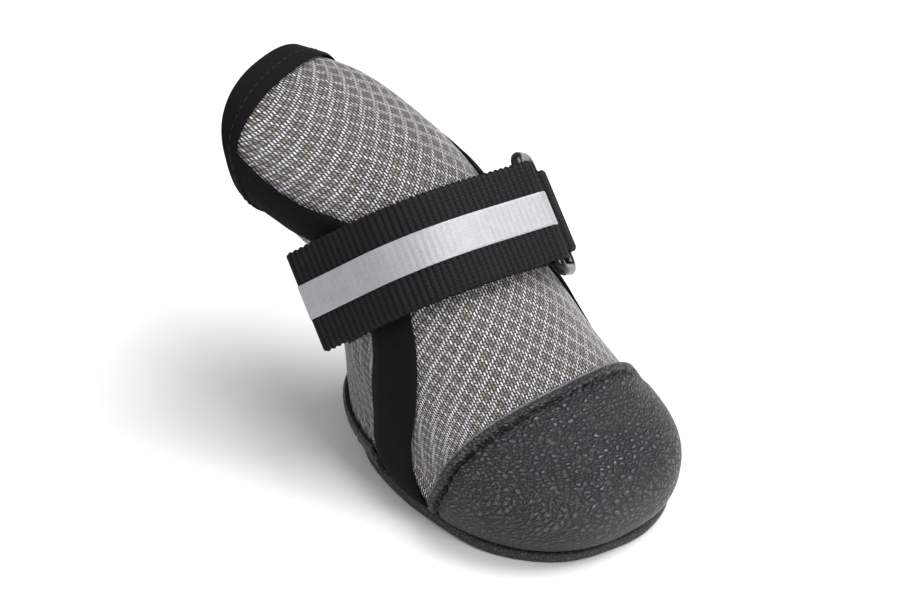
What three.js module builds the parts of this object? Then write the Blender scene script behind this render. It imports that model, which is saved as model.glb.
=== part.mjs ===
// Dog boot for one paw: a mesh sock with a leather toe and sole, closed by a webbing strap.
// Millimetres. +X points to the toe, +Z up, and the origin lies on the floor under the middle of the sole.
// The boot's right side is -Y, its left side +Y.
import * as THREE from 'three';

// Foot and shaft
const FOOT_LENGTH = 80;
const FOOT_WIDTH = 63;
const BOOT_HEIGHT = 88;
const CLEARANCE = 0.3;

// Sole and insole
const SOLE_THICKNESS = 3.2;
const SOLE_LIP = 1.6;
const SOLE_EDGE_ROUND = 1.1;
const INSOLE_THICKNESS = 1.5;

// Cloth, leather and webbing thicknesses
const MESH_WALL = 1.8;
const TOE_LEATHER = 1.2;
const HEEL_LEATHER = 1.2;
const BINDING_THICKNESS = 1.0;
const WEBBING_THICKNESS = 1.3;
const STRIPE_THICKNESS = 0.4;

// Toe cap and heel counter, as rings up the last and degrees round it
const TOE_CAP_TOP_RING = 4.05;
const TOE_CAP_SIDE_ANGLE = 81;
const TOE_CAP_SQUARENESS = 2.4;
const TOE_CAP_CORNER_SHARE = 0.994;
const HEEL_TOP_RING = 1.9;
const HEEL_CORNER_RING = 1.45;
const LEATHER_FOOT_RING = 0.06;

// Binding
const COLLAR_BINDING_RING_SHARE = 0.54;
const COLLAR_BINDING_BACK_SHARE = 0.17;
const COLLAR_DROP_RING = 1.35;
const COLLAR_DROP_START_ANGLE = 60;
const COLLAR_DROP_END_ANGLE = 175;
const SIDE_BINDING_TOP_RING = 0.05;
const BACK_STRIP_WIDTH = 25;
const BACK_STRIP_BEND_SHARE = 0.8;
const BACK_STRIP_FOOT_RING = 0.08;

// Strap, ring and keeper
const STRAP_WIDTH = 25;
const STRIPE_WIDTH = 8.6;
const STRAP_RING = 6.95;
const STRAP_RISE_ANGLE = 45;
const STRAP_YAW_ANGLE = -8;
const STRAP_WRAP_ANGLE = 62;
const FREE_END = 17;
const RING_ANGLE = 28;
const ANCHOR_ANGLE = 84;
const ANCHOR_LENGTH = 3;
const RING_ROD = 3.0;
const RING_DEPTH = 10;
const RING_CORNER = 3;
const RING_OVERHANG = 3.6;
const KEEPER_PLAY = 2.6;
const KEEPER_ANGLE = 94;
const KEEPER_LENGTH = 1;
const KEEPER_LAP_ANGLE = 12;
const KEEPER_PINCH_ANGLE = 50;

// Fineness of the lofts
const STEPS_ROUND = 44;
const STEPS_UP = 25;
const COLLAR_STEPS = 3;
const TOE_CAP_STEPS = { across: 26, up: 12 };
const HEEL_STEPS = { across: 18, up: 3 };
const SIDE_BINDING_STEPS = { across: 5, up: 22 };
const BACK_STRIP_STEPS = { across: 6, up: 12 };
const COVERED_STEPS = { round: 72, up: 80 };
const BEND_STEP_ANGLE = 7;
const GIRTH_STEPS = 180;
const FOLD_STEPS = 12;
const OUTER_FOLD_STEPS = 5;
const ROD_STEPS = { along: 48, round: 10 };

// The last, ring by ring from the sole to the collar. The front and back points are shares of the
// foot's length and of the boot's height, and the half width and sway are shares of the foot's width.
// Roundness is the exponent of the ring's outline, egg widens its front, and roll tips it sideways.
const LAST = [
  { ring: 'sole', frontX: 0.455, frontZ: 0.04, backX: -0.535, backZ: 0.04, half: 0.46, roundness: 2.3, egg: 0.03, sway: 0, roll: 0 },
  { ring: 'bulge', frontX: 0.475, frontZ: 0.10, backX: -0.60, backZ: 0.095, half: 0.487, roundness: 2.4, egg: 0.03, sway: 0, roll: 0 },
  { ring: 'toe_mid', frontX: 0.46, frontZ: 0.175, backX: -0.625, backZ: 0.155, half: 0.485, roundness: 2.4, egg: 0.05, sway: 0, roll: 0 },
  { ring: 'toe_top', frontX: 0.33, frontZ: 0.25, backX: -0.64, backZ: 0.21, half: 0.468, roundness: 2.3, egg: 0.04, sway: 0, roll: 0 },
  { ring: 'vamp', frontX: 0.155, frontZ: 0.345, backX: -0.645, backZ: 0.27, half: 0.44, roundness: 2.3, egg: 0.03, sway: 0, roll: 0 },
  { ring: 'instep', frontX: 0, frontZ: 0.455, backX: -0.645, backZ: 0.34, half: 0.41, roundness: 2.3, egg: 0.02, sway: 0, roll: 0 },
  { ring: 'strap_low', frontX: -0.155, frontZ: 0.56, backX: -0.665, backZ: 0.40, half: 0.38, roundness: 2.3, egg: 0.02, sway: 0, roll: 0 },
  { ring: 'strap_mid', frontX: -0.275, frontZ: 0.64, backX: -0.70, backZ: 0.44, half: 0.37, roundness: 2.3, egg: 0, sway: 0, roll: 0 },
  { ring: 'strap_top', frontX: -0.41, frontZ: 0.72, backX: -0.75, backZ: 0.475, half: 0.365, roundness: 2.3, egg: 0, sway: -0.015, roll: 1.5 },
  { ring: 'shaft', frontX: -0.60, frontZ: 0.825, backX: -0.82, backZ: 0.535, half: 0.36, roundness: 2.35, egg: 0, sway: -0.07, roll: 6 },
  { ring: 'collar', frontX: -0.80, frontZ: 0.92, backX: -0.90, backZ: 0.605, half: 0.36, roundness: 2.4, egg: 0, sway: -0.16, roll: 14 },
  { ring: 'top', frontX: -0.97, frontZ: 0.97, backX: -0.945, backZ: 0.645, half: 0.32, roundness: 2.4, egg: 0, sway: -0.24, roll: 21 },
];
const TOP_RING = LAST.length - 1;
const FLOOR_OF_UPPER = SOLE_THICKNESS + CLEARANCE;

// Edges of the side binding, in degrees from the toe, at each ring of the last
const SIDE_BINDING = [
  { front: 84.5, back: 106 },
  { front: 84.5, back: 106 },
  { front: 86, back: 107 },
  { front: 79, back: 102 },
  { front: 67, back: 95 },
  { front: 57, back: 86 },
  { front: 49, back: 80 },
  { front: 45, back: 80 },
  { front: 50, back: 92 },
  { front: 72, back: 118 },
  { front: 74, back: 122 },
  { front: 74, back: 122 },
];

const radians = THREE.MathUtils.degToRad;

// Smooth value of a table's column at a place between its rows
function along(rows, column, place) {
  const last = rows.length - 1;
  const i = Math.min(Math.max(Math.floor(place), 0), last - 1);
  const f = place - i;
  const at = (k) => rows[Math.min(Math.max(k, 0), last)][column];
  const [a, b, c, d] = [at(i - 1), at(i), at(i + 1), at(i + 2)];
  const [square, cube] = [2 * a - 5 * b + 4 * c - d, 3 * b - a - 3 * c + d];
  return 0.5 * (2 * b + (c - a) * f + square * f ** 2 + cube * f ** 3);
}

// Point of the upper's outer face: ring counts up the last, angle turns from the toe towards the left
function lastPoint(ring, angle) {
  const frontX = along(LAST, 'frontX', ring) * FOOT_LENGTH;
  const backX = along(LAST, 'backX', ring) * FOOT_LENGTH;
  const lift = FLOOR_OF_UPPER - LAST[0].frontZ * BOOT_HEIGHT;
  const frontZ = along(LAST, 'frontZ', ring) * BOOT_HEIGHT + lift;
  const backZ = along(LAST, 'backZ', ring) * BOOT_HEIGHT + lift;
  const depth = Math.hypot(frontX - backX, frontZ - backZ) / 2;
  const forward = new THREE.Vector3((frontX - backX) / (2 * depth), 0, (frontZ - backZ) / (2 * depth));
  const upward = new THREE.Vector3(-forward.z, 0, forward.x);
  const power = along(LAST, 'roundness', ring);
  const c = Math.cos(angle);
  const s = Math.sin(angle);
  const scale = (Math.abs(c) ** power + Math.abs(s) ** power) ** (-1 / power);
  const egg = 1 + along(LAST, 'egg', ring) * c * scale;
  const side = along(LAST, 'half', ring) * FOOT_WIDTH * egg * s * scale;
  const roll = radians(along(LAST, 'roll', ring));
  const point = new THREE.Vector3((frontX + backX) / 2, 0, (frontZ + backZ) / 2);
  point.addScaledVector(forward, c * scale * depth);
  point.addScaledVector(upward, side * Math.sin(roll));
  point.y = along(LAST, 'sway', ring) * FOOT_WIDTH + side * Math.cos(roll);
  return point;
}

// Outward direction of the upper's face
function lastNormal(ring, angle) {
  const step = 0.02;
  const low = Math.max(ring - step, 0);
  const high = Math.min(ring + step, TOP_RING);
  const upwards = lastPoint(high, angle).sub(lastPoint(low, angle));
  const round = lastPoint(ring, angle + step).sub(lastPoint(ring, angle - step));
  return round.cross(upwards).normalize();
}

// The face moved outwards; at the foot it moves level, so that the edge stays flat on the sole
function offsetPoint(ring, angle, distance) {
  const normal = lastNormal(ring, angle);
  if (ring < 1) {
    normal.z *= ring;
    normal.normalize();
  }
  return lastPoint(ring, angle).addScaledVector(normal, distance);
}

// How far the collar's edge has fallen at an angle: 0 over the front, 1 at the back
function collarFall(angle) {
  const degrees = Math.abs(THREE.MathUtils.radToDeg(Math.atan2(Math.sin(angle), Math.cos(angle))));
  return THREE.MathUtils.smoothstep(degrees, COLLAR_DROP_START_ANGLE, COLLAR_DROP_END_ANGLE);
}

const collarRing = (angle) => TOP_RING - COLLAR_DROP_RING * collarFall(angle);

// Ring of the lower edge of the collar's binding
function bindingRing(angle) {
  const share = 1 - (collarFall(angle) * COLLAR_BINDING_BACK_SHARE * COLLAR_DROP_RING);
  return collarRing(angle) - COLLAR_BINDING_RING_SHARE * share;
}

// Closed mesh from loops of points that follow each other round a closed or an open chain of sections
function skin(sections, { closed }) {
  const count = sections[0].length;
  const positions = sections.flat().flatMap((p) => [p.x, p.y, p.z]);
  const index = [];
  const points = sections.flat();
  const rows = closed ? sections.length : sections.length - 1;
  for (let i = 0; i < rows; i += 1) {
    const next = (i + 1) % sections.length;
    for (let j = 0; j < count; j += 1) {
      const k = (j + 1) % count;
      const [a, b, c, d] = [i * count + j, i * count + k, next * count + k, next * count + j];
      const shortWay = points[a].distanceTo(points[c]) < points[b].distanceTo(points[d]);
      index.push(...(shortWay ? [a, b, c, a, c, d] : [a, b, d, b, c, d]));
    }
  }
  if (!closed) {
    capLoop(sections[0], 0, index, true);
    capLoop(sections[sections.length - 1], (sections.length - 1) * count, index, false);
  }
  return facingOut(positions, index);
}

// End of a chain, as a strip between the loop's two halves
function capLoop(loop, start, index, flip) {
  const count = loop.length;
  for (let j = 0; j < count / 2 - 1; j += 1) {
    const [a, b, c, d] = [start + j, start + j + 1, start + count - 2 - j, start + count - 1 - j];
    const faces = flip ? [a, c, b, a, d, c] : [a, b, c, a, c, d];
    index.push(...faces);
  }
}

// Geometry with its faces turned outwards
function facingOut(positions, index) {
  const geometry = new THREE.BufferGeometry();
  geometry.setAttribute('position', new THREE.Float32BufferAttribute(positions, 3));
  let volume = 0;
  const point = (i) => new THREE.Vector3(positions[3 * i], positions[3 * i + 1], positions[3 * i + 2]);
  for (let i = 0; i < index.length; i += 3) {
    volume += point(index[i]).dot(point(index[i + 1]).cross(point(index[i + 2])));
  }
  geometry.setIndex(volume < 0 ? index.reverse() : index);
  return geometry;
}

// Closed sheet over a grid of places on the last, from one offset to another
function patch(grid, inner, outer) {
  const sections = grid.map((row) => {
    const under = row.map(([ring, angle]) => offsetPoint(ring, angle, inner));
    const over = row.map(([ring, angle]) => offsetPoint(ring, angle, outer));
    return [...over, ...under.reverse()];
  });
  return skin(sections, { closed: false });
}

// Evenly spaced values, both ends included
const steps = (from, to, count) => (
  Array.from({ length: count + 1 }, (_, i) => from + ((to - from) * i) / count)
);

const group = new THREE.Group();

function add(name, geometry, colour, roughness, metalness = 0) {
  const material = new THREE.MeshStandardMaterial({ color: colour, roughness, metalness });
  const mesh = new THREE.Mesh(geometry, material);
  mesh.name = name;
  group.add(mesh);
}

// Outline of the foot on the sole, moved outwards by a distance
function footOutline(distance, height) {
  return steps(0, 2 * Math.PI, STEPS_ROUND).slice(0, -1).map((angle) => {
    const point = offsetPoint(0, angle, distance);
    point.z = height;
    return point;
  });
}

// Slab with the foot's outline; each level has a height and a distance outside the foot
function slab(levels) {
  const loops = levels.map(({ height, out }) => footOutline(out, height));
  const positions = loops.flat().flatMap((p) => [p.x, p.y, p.z]);
  const index = [];
  for (let i = 0; i < loops.length - 1; i += 1) {
    for (let j = 0; j < STEPS_ROUND; j += 1) {
      const k = (j + 1) % STEPS_ROUND;
      const [a, b] = [i * STEPS_ROUND + j, i * STEPS_ROUND + k];
      index.push(a, b, b + STEPS_ROUND, a, b + STEPS_ROUND, a + STEPS_ROUND);
    }
  }
  capLoop(loops[0], 0, index, true);
  capLoop(loops[loops.length - 1], (loops.length - 1) * STEPS_ROUND, index, false);
  return facingOut(positions, index);
}

// Leather sole, flat underneath, with a rounded turned edge that stands outside the upper
function outsole() {
  const round = Math.min(SOLE_EDGE_ROUND, SOLE_THICKNESS / 2);
  return slab([
    { height: 0, out: SOLE_LIP - round },
    { height: round * 0.35, out: SOLE_LIP - round * 0.3 },
    { height: round, out: SOLE_LIP },
    { height: SOLE_THICKNESS - round, out: SOLE_LIP },
    { height: SOLE_THICKNESS - round * 0.3, out: SOLE_LIP - round * 0.4 },
    { height: SOLE_THICKNESS, out: SOLE_LIP - round },
  ]);
}

// Felt insole that lies on the sole inside the upper
function insole() {
  const inset = -(MESH_WALL + CLEARANCE * 2);
  return slab([
    { height: FLOOR_OF_UPPER, out: inset },
    { height: FLOOR_OF_UPPER + INSOLE_THICKNESS, out: inset },
  ]);
}

// Mesh sock: one hollow wall, open at the collar and underneath
function upper() {
  const sections = steps(0, 2 * Math.PI, STEPS_ROUND).slice(0, -1).map((angle) => {
    const bound = bindingRing(angle);
    const bare = steps(0, bound, STEPS_UP - COLLAR_STEPS);
    const rings = [...bare, ...steps(bound, collarRing(angle), COLLAR_STEPS).slice(1)];
    const outer = rings.map((ring) => offsetPoint(ring, angle, 0));
    const inner = rings.map((ring) => offsetPoint(ring, angle, -MESH_WALL));
    return [...outer, ...inner.reverse()];
  });
  return skin(sections, { closed: true });
}

// Top edge of the toe cap at an angle from the toe
function toeCapRing(angle) {
  const share = Math.abs(angle) / radians(TOE_CAP_SIDE_ANGLE);
  return TOE_CAP_TOP_RING * Math.max(1 - share ** TOE_CAP_SQUARENESS, 0) ** (1 / TOE_CAP_SQUARENESS);
}

// Leather cap over the toe, from just above the sole to an arched seam
function toeCap() {
  const corner = radians(TOE_CAP_SIDE_ANGLE) * TOE_CAP_CORNER_SHARE;
  const sideways = steps(-1, 1, TOE_CAP_STEPS.across).map((t) => Math.sin((t * Math.PI) / 2) * corner);
  const grid = sideways.map((angle) => (
    steps(LEATHER_FOOT_RING, toeCapRing(angle), TOE_CAP_STEPS.up).map((ring) => [ring, angle])
  ));
  return patch(grid, CLEARANCE, CLEARANCE + TOE_LEATHER);
}

// Rear edge of the side binding, in radians from the toe
const bindingBack = (ring) => radians(along(SIDE_BINDING, 'back', ring));
const bindingFront = (ring) => radians(along(SIDE_BINDING, 'front', ring));
const gapAngle = (ring) => (1.5 * CLEARANCE) / (along(LAST, 'half', ring) * FOOT_WIDTH);

// Leather round the heel between the two side bindings, highest at the back
function heelRing(angle) {
  const edge = bindingBack(HEEL_CORNER_RING);
  const inwards = (Math.PI - Math.abs(Math.PI - angle)) - edge;
  const rise = THREE.MathUtils.smoothstep(inwards, 0, Math.PI - edge);
  return THREE.MathUtils.lerp(HEEL_CORNER_RING, HEEL_TOP_RING, rise);
}

function heelCounter() {
  const edge = bindingBack(HEEL_CORNER_RING) + gapAngle(1) * 2;
  const grid = steps(edge, 2 * Math.PI - edge, HEEL_STEPS.across).map((angle) => (
    steps(LEATHER_FOOT_RING, heelRing(angle), HEEL_STEPS.up).map((ring) => [ring, angle])
  ));
  return patch(grid, CLEARANCE, CLEARANCE + HEEL_LEATHER);
}

// Flat binding down one side, from the collar binding to the sole
function sideBinding(side) {
  const grid = steps(0, 1, SIDE_BINDING_STEPS.across).map((share) => {
    const angleAt = (ring) => THREE.MathUtils.lerp(bindingFront(ring), bindingBack(ring), share);
    const top = bindingRing(angleAt(TOP_RING)) - SIDE_BINDING_TOP_RING;
    return steps(LEATHER_FOOT_RING, top, SIDE_BINDING_STEPS.up).map((ring) => [ring, side * angleAt(ring)]);
  });
  return patch(grid, CLEARANCE, CLEARANCE + BINDING_THICKNESS);
}

// Folded binding over the collar's edge: outside, over the top and down inside
function collarBinding() {
  const sections = steps(0, 2 * Math.PI, STEPS_ROUND).slice(0, -1).map((angle) => {
    const top = collarRing(angle);
    const low = bindingRing(angle);
    const outside = CLEARANCE + BINDING_THICKNESS;
    const inside = -(MESH_WALL + CLEARANCE + BINDING_THICKNESS);
    const rings = steps(low, top, COLLAR_STEPS);
    const rise = lastPoint(top, angle).sub(lastPoint(top - 0.1, angle)).normalize();
    const raised = (distance, height) => offsetPoint(top, angle, distance).addScaledVector(rise, height);
    return [
      ...rings.map((ring) => offsetPoint(ring, angle, outside)),
      raised(outside * 0.5, CLEARANCE + BINDING_THICKNESS),
      raised(inside * 0.7, CLEARANCE + BINDING_THICKNESS),
      ...rings.map((ring) => offsetPoint(ring, angle, inside)).reverse(),
      ...rings.map((ring) => offsetPoint(ring, angle, -(MESH_WALL + CLEARANCE))),
      raised(-(MESH_WALL + CLEARANCE), CLEARANCE),
      raised(CLEARANCE, CLEARANCE),
      ...rings.map((ring) => offsetPoint(ring, angle, CLEARANCE)).reverse(),
    ];
  });
  return skin(sections, { closed: true });
}

// Ribbed webbing up the back, from the heel leather to the collar binding
function backStrip() {
  const grid = steps(-1, 1, BACK_STRIP_STEPS.across).map((share) => {
    const angleAt = (ring) => {
      const reach = (share * BACK_STRIP_WIDTH) / 2 / (along(LAST, 'half', ring) * FOOT_WIDTH);
      return Math.PI + reach * BACK_STRIP_BEND_SHARE;
    };
    const low = heelRing(angleAt(HEEL_TOP_RING)) + BACK_STRIP_FOOT_RING;
    const high = bindingRing(angleAt(TOP_RING)) - SIDE_BINDING_TOP_RING;
    return steps(low, high, BACK_STRIP_STEPS.up).map((ring) => [ring, angleAt(ring)]);
  });
  return patch(grid, CLEARANCE, CLEARANCE + WEBBING_THICKNESS);
}

// The strap bends about one axis, so it is drawn in a flat frame: rise runs across the webbing,
// left runs along it towards the ring and out points away from the instep
const climb = radians(STRAP_RISE_ANGLE);
const rise = new THREE.Vector3(-Math.cos(climb), 0, Math.sin(climb));
rise.applyAxisAngle(new THREE.Vector3(0, 0, 1), radians(STRAP_YAW_ANGLE));
const left = new THREE.Vector3(0, 1, 0).addScaledVector(rise, -rise.y).normalize();
const out = new THREE.Vector3().crossVectors(left, rise).normalize();
const strapCentre = lastPoint(STRAP_RING, 0);

const toFlat = (point) => {
  const p = point.clone().sub(strapCentre);
  return { along: p.dot(left), out: p.dot(out), across: p.dot(rise) };
};
const fromFlat = ({ along: a, out: o }, across) => (
  strapCentre.clone().addScaledVector(left, a).addScaledVector(out, o).addScaledVector(rise, across)
);

// What lies under the strap: the dressed upper within the webbing's width
function underStrap() {
  const points = [];
  const cover = CLEARANCE + BINDING_THICKNESS;
  for (const ring of steps(0, TOP_RING, COVERED_STEPS.up)) {
    for (const angle of steps(-Math.PI, Math.PI, COVERED_STEPS.round)) {
      const flat = toFlat(offsetPoint(ring, angle, cover));
      if (Math.abs(flat.across) <= STRAP_WIDTH / 2 + CLEARANCE) {
        points.push(flat);
      }
    }
  }
  return points;
}
const covered = underStrap();

// Tight path over the covered points, as corners of its tangent lines between two directions
function tightPath(fromDegrees, toDegrees, distance) {
  const count = Math.max(Math.round(Math.abs(toDegrees - fromDegrees) / BEND_STEP_ANGLE), 2);
  const tangents = steps(radians(fromDegrees), radians(toDegrees), count).map((turn) => {
    const normal = { along: Math.sin(turn), out: Math.cos(turn) };
    const reach = Math.max(...covered.map((p) => p.along * normal.along + p.out * normal.out));
    return { normal, reach: reach + distance };
  });
  return tangents.slice(1).map((b, i) => {
    const a = tangents[i];
    const cross = a.normal.along * b.normal.out - a.normal.out * b.normal.along;
    return {
      along: (a.reach * b.normal.out - b.reach * a.normal.out) / cross,
      out: (b.reach * a.normal.along - a.reach * b.normal.along) / cross,
    };
  });
}

// Point past the last of two points, on their line
function beyond(a, b, length) {
  const share = length / Math.hypot(b.along - a.along, b.out - a.out);
  return { along: b.along + (b.along - a.along) * share, out: b.out + (b.out - a.out) * share };
}

// Path moved sideways, to the left of its direction
function movedPath(path, distance) {
  return path.map((point, i) => {
    const before = path[Math.max(i - 1, 0)];
    const after = path[Math.min(i + 1, path.length - 1)];
    const size = Math.hypot(after.along - before.along, after.out - before.out);
    return {
      along: point.along - ((after.out - before.out) / size) * distance,
      out: point.out + ((after.along - before.along) / size) * distance,
    };
  });
}

// Webbing of one thickness along a flat path, its width from low to high
function webbing(path, thickness, low, high) {
  const over = movedPath(path, thickness / 2);
  const under = movedPath(path, -thickness / 2);
  const sections = path.map((_, i) => [
    fromFlat(over[i], low), fromFlat(over[i], high), fromFlat(under[i], high), fromFlat(under[i], low),
  ]);
  return skin(sections, { closed: false });
}

const half = WEBBING_THICKNESS / 2;
const lowerLayer = CLEARANCE + half;
const upperLayer = lowerLayer + WEBBING_THICKNESS + CLEARANCE;
const foldRadius = RING_ROD / 2 + CLEARANCE + half;
const barStandoff = lowerLayer + foldRadius;

// Direction out of the boot, and direction along its girth, at an angle from the middle of the instep
const outwards = (angle) => ({ along: Math.sin(angle), out: Math.cos(angle) });
const dot = (a, b) => a.along * b.along + a.out * b.out;
const shifted = (point, direction, distance) => (
  { along: point.along + direction.along * distance, out: point.out + direction.out * distance }
);
const girth = (angle) => Math.max(...covered.map((p) => dot(p, outwards(angle))));
const reachOf = (point, angle) => dot(point, outwards(angle)) - girth(angle);
const turns = steps(-Math.PI / 2, Math.PI, GIRTH_STEPS);
const clearOf = (point) => Math.max(...turns.map((angle) => reachOf(point, angle)));

// Place between two values where a rising measure passes nought
function crossing(measure, from, to) {
  let [low, high] = [from, to];
  for (let i = 0; i < 40; i += 1) {
    const middle = (low + high) / 2;
    if (measure(middle) < 0) {
      low = middle;
    } else {
      high = middle;
    }
  }
  return (low + high) / 2;
}

// Round turn about a bar, between two directions in the flat frame
const turnAbout = (bar, from, to) => steps(from, to, FOLD_STEPS).map((turn) => (
  { along: bar.along + foldRadius * Math.cos(turn), out: bar.out + foldRadius * Math.sin(turn) }
));

// Near bar of the ring, on the strap's under layer; far bar beside it, on the keeper's
const nearAngle = radians(RING_ANGLE);
const nearLine = outwards(nearAngle);
const nearContact = covered.reduce((best, p) => (dot(p, nearLine) > dot(best, nearLine) ? p : best));
const nearBar = shifted(nearContact, nearLine, barStandoff);
const farAt = (turn) => shifted(nearBar, { along: Math.cos(turn), out: -Math.sin(turn) }, RING_DEPTH);
const farBar = farAt(crossing((turn) => barStandoff - clearOf(farAt(turn)), 0, Math.PI / 2));
const farAngle = steps(nearAngle, Math.PI, GIRTH_STEPS)
  .reduce((best, a) => (reachOf(farBar, a) > reachOf(farBar, best) ? a : best));

// Strap: sewn on at the right side, over the front, round the ring's near bar and back to a free end
const overFold = (angle) => reachOf(nearBar, angle) + foldRadius - upperLayer;
const leaves = crossing(overFold, radians(-STRAP_WRAP_ANGLE), nearAngle);
const underPath = tightPath(-ANCHOR_ANGLE, RING_ANGLE, lowerLayer);
const overPath = tightPath(-STRAP_WRAP_ANGLE, THREE.MathUtils.radToDeg(leaves), upperLayer);
const fold = turnAbout(nearBar, -Math.PI / 2 - nearAngle, Math.PI / 2 - leaves);
const freeEnd = beyond(overPath[1], overPath[0], FREE_END);
const outerPath = [...fold.slice(-OUTER_FOLD_STEPS), ...overPath.slice().reverse(), freeEnd];

function strap() {
  const anchorEnd = beyond(underPath[1], underPath[0], ANCHOR_LENGTH);
  const path = [anchorEnd, ...underPath, ...fold.slice(0, -OUTER_FOLD_STEPS), ...outerPath];
  return webbing(path, WEBBING_THICKNESS, -STRAP_WIDTH / 2, STRAP_WIDTH / 2);
}

// Reflective tape along the middle of the strap's outer layer, from the fold to the free end
function reflectiveStripe() {
  const tape = movedPath(outerPath, -(half + CLEARANCE + STRIPE_THICKNESS / 2));
  return webbing(tape, STRIPE_THICKNESS, -STRIPE_WIDTH / 2, STRIPE_WIDTH / 2);
}

// Rectangular plastic ring: one long bar in the strap's fold, the other in the keeper
function ring() {
  const path = new THREE.CurvePath();
  const halfLength = STRAP_WIDTH / 2 + RING_OVERHANG - RING_ROD / 2;
  const corners = [
    fromFlat(nearBar, -halfLength), fromFlat(nearBar, halfLength),
    fromFlat(farBar, halfLength), fromFlat(farBar, -halfLength),
  ];
  const toward = (a, b) => a.clone().addScaledVector(b.clone().sub(a).normalize(), RING_CORNER);
  corners.forEach((corner, i) => {
    const before = corners[(i + 3) % 4];
    const after = corners[(i + 1) % 4];
    path.add(new THREE.QuadraticBezierCurve3(toward(corner, before), corner, toward(corner, after)));
    path.add(new THREE.LineCurve3(toward(corner, after), toward(after, corner)));
  });
  const plane = corners[1].clone().sub(corners[0]).cross(corners[2].clone().sub(corners[1])).normalize();
  const centres = path.getSpacedPoints(ROD_STEPS.along).slice(0, -1);
  const sections = centres.map((centre, i) => {
    const before = centres[(i + centres.length - 1) % centres.length];
    const after = centres[(i + 1) % centres.length];
    const sideways = after.clone().sub(before).normalize().cross(plane);
    return steps(0, 2 * Math.PI, ROD_STEPS.round).slice(0, -1).map((turn) => (
      centre.clone()
        .addScaledVector(sideways, (Math.cos(turn) * RING_ROD) / 2)
        .addScaledVector(plane, (Math.sin(turn) * RING_ROD) / 2)
    ));
  });
  return skin(sections, { closed: true });
}

// Webbing loop that holds the ring's far bar and is sewn down behind it on the left side
function keeper() {
  const farDegrees = THREE.MathUtils.radToDeg(farAngle);
  const reach = STRAP_WIDTH / 2 + RING_OVERHANG - RING_ROD - KEEPER_PLAY;
  const lower = tightPath(farDegrees, KEEPER_ANGLE, lowerLayer);
  const upper = tightPath(farDegrees + KEEPER_LAP_ANGLE, KEEPER_ANGLE - BEND_STEP_ANGLE, upperLayer);
  const end = beyond(lower[lower.length - 2], lower[lower.length - 1], KEEPER_LENGTH);
  const over = -1.5 * Math.PI - farAngle - radians(KEEPER_PINCH_ANGLE);
  const loop = turnAbout(farBar, -Math.PI / 2 - farAngle, over);
  return webbing([end, ...lower.slice().reverse(), ...loop, ...upper], WEBBING_THICKNESS, -reach, reach);
}

add('outsole', outsole(), 0x1b1b1c, 0.7);
add('insole', insole(), 0x2a2a2b, 0.95);
add('upper', upper(), 0x9a9794, 0.85);
add('toe_cap', toeCap(), 0x232324, 0.6);
add('heel_counter', heelCounter(), 0x232324, 0.6);
add('side_binding_right', sideBinding(-1), 0x141415, 0.95);
add('side_binding_left', sideBinding(1), 0x141415, 0.95);
add('collar_binding', collarBinding(), 0x141415, 0.95);
add('back_strip', backStrip(), 0x1a1a1b, 0.9);
add('strap', strap(), 0x1a1a1b, 0.9);
add('reflective_stripe', reflectiveStripe(), 0xc4c6c8, 0.45);
add('ring', ring(), 0x0c0c0d, 0.25);
add('keeper', keeper(), 0x1a1a1b, 0.9);

export default group;
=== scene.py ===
"""Dog boot for one paw: a mesh sock with a leather toe, heel and sole, closed by a webbing strap.

Sizes are millimetres, and each mesh is turned to metres when it is finished.
+X points to the toe, +Y to the boot's left, and the sole lies on the floor at Z = 0.
"""
import logging
import math
from dataclasses import dataclass, field
from enum import Enum
from typing import Callable, Sequence

import bmesh
import bpy
from mathutils import Matrix, Vector, kdtree


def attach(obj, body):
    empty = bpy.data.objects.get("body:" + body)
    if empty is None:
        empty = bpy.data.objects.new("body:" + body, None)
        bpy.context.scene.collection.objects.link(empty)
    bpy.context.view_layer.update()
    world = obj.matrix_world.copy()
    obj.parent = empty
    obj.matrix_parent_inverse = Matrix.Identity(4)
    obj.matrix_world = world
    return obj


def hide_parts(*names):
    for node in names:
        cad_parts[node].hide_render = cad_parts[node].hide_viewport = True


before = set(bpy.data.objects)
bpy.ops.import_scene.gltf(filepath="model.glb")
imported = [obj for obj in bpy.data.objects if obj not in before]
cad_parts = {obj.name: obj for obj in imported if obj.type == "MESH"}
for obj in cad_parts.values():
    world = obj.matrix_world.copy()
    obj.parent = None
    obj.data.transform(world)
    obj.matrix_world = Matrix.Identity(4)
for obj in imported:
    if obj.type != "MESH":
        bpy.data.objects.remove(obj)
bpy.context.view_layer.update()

log = logging.getLogger("dog_boot")

MM = 0.001
CLOTH_MAP = "cloth"
EDGE_MAP = "edge"
BODY = "root"


class Slot(str, Enum):
    """Material slots of the part's record."""

    SOLE_LEATHER = "sole_leather"
    PEBBLED_LEATHER = "pebbled_leather"
    SPACER_MESH = "spacer_mesh"
    KNIT_BINDING = "knit_binding"
    RIBBED_WEBBING = "ribbed_webbing"
    REFLECTIVE_TAPE = "reflective_tape"
    RING_PLASTIC = "ring_plastic"
    FELT = "felt"


class Side(Enum):
    """A side of the boot, as the sign of its angle from the toe."""

    RIGHT = -1
    LEFT = 1


def clamp(value: float, low: float, high: float) -> float:
    """Keep a value between two limits."""
    return min(max(value, low), high)


def smoothstep(value: float, low: float, high: float) -> float:
    """Rise softly from 0 at the low limit to 1 at the high one."""
    share = clamp((value - low) / (high - low), 0.0, 1.0)
    return share * share * (3 - 2 * share)


def mixed(a: float, b: float, share: float) -> float:
    """Value at a share of the way from a to b."""
    return a + (b - a) * share


def steps(start: float, end: float, count: int) -> list[float]:
    """Evenly spaced values from start to end, both included."""
    return [start + (end - start) * i / count for i in range(count + 1)]


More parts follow.
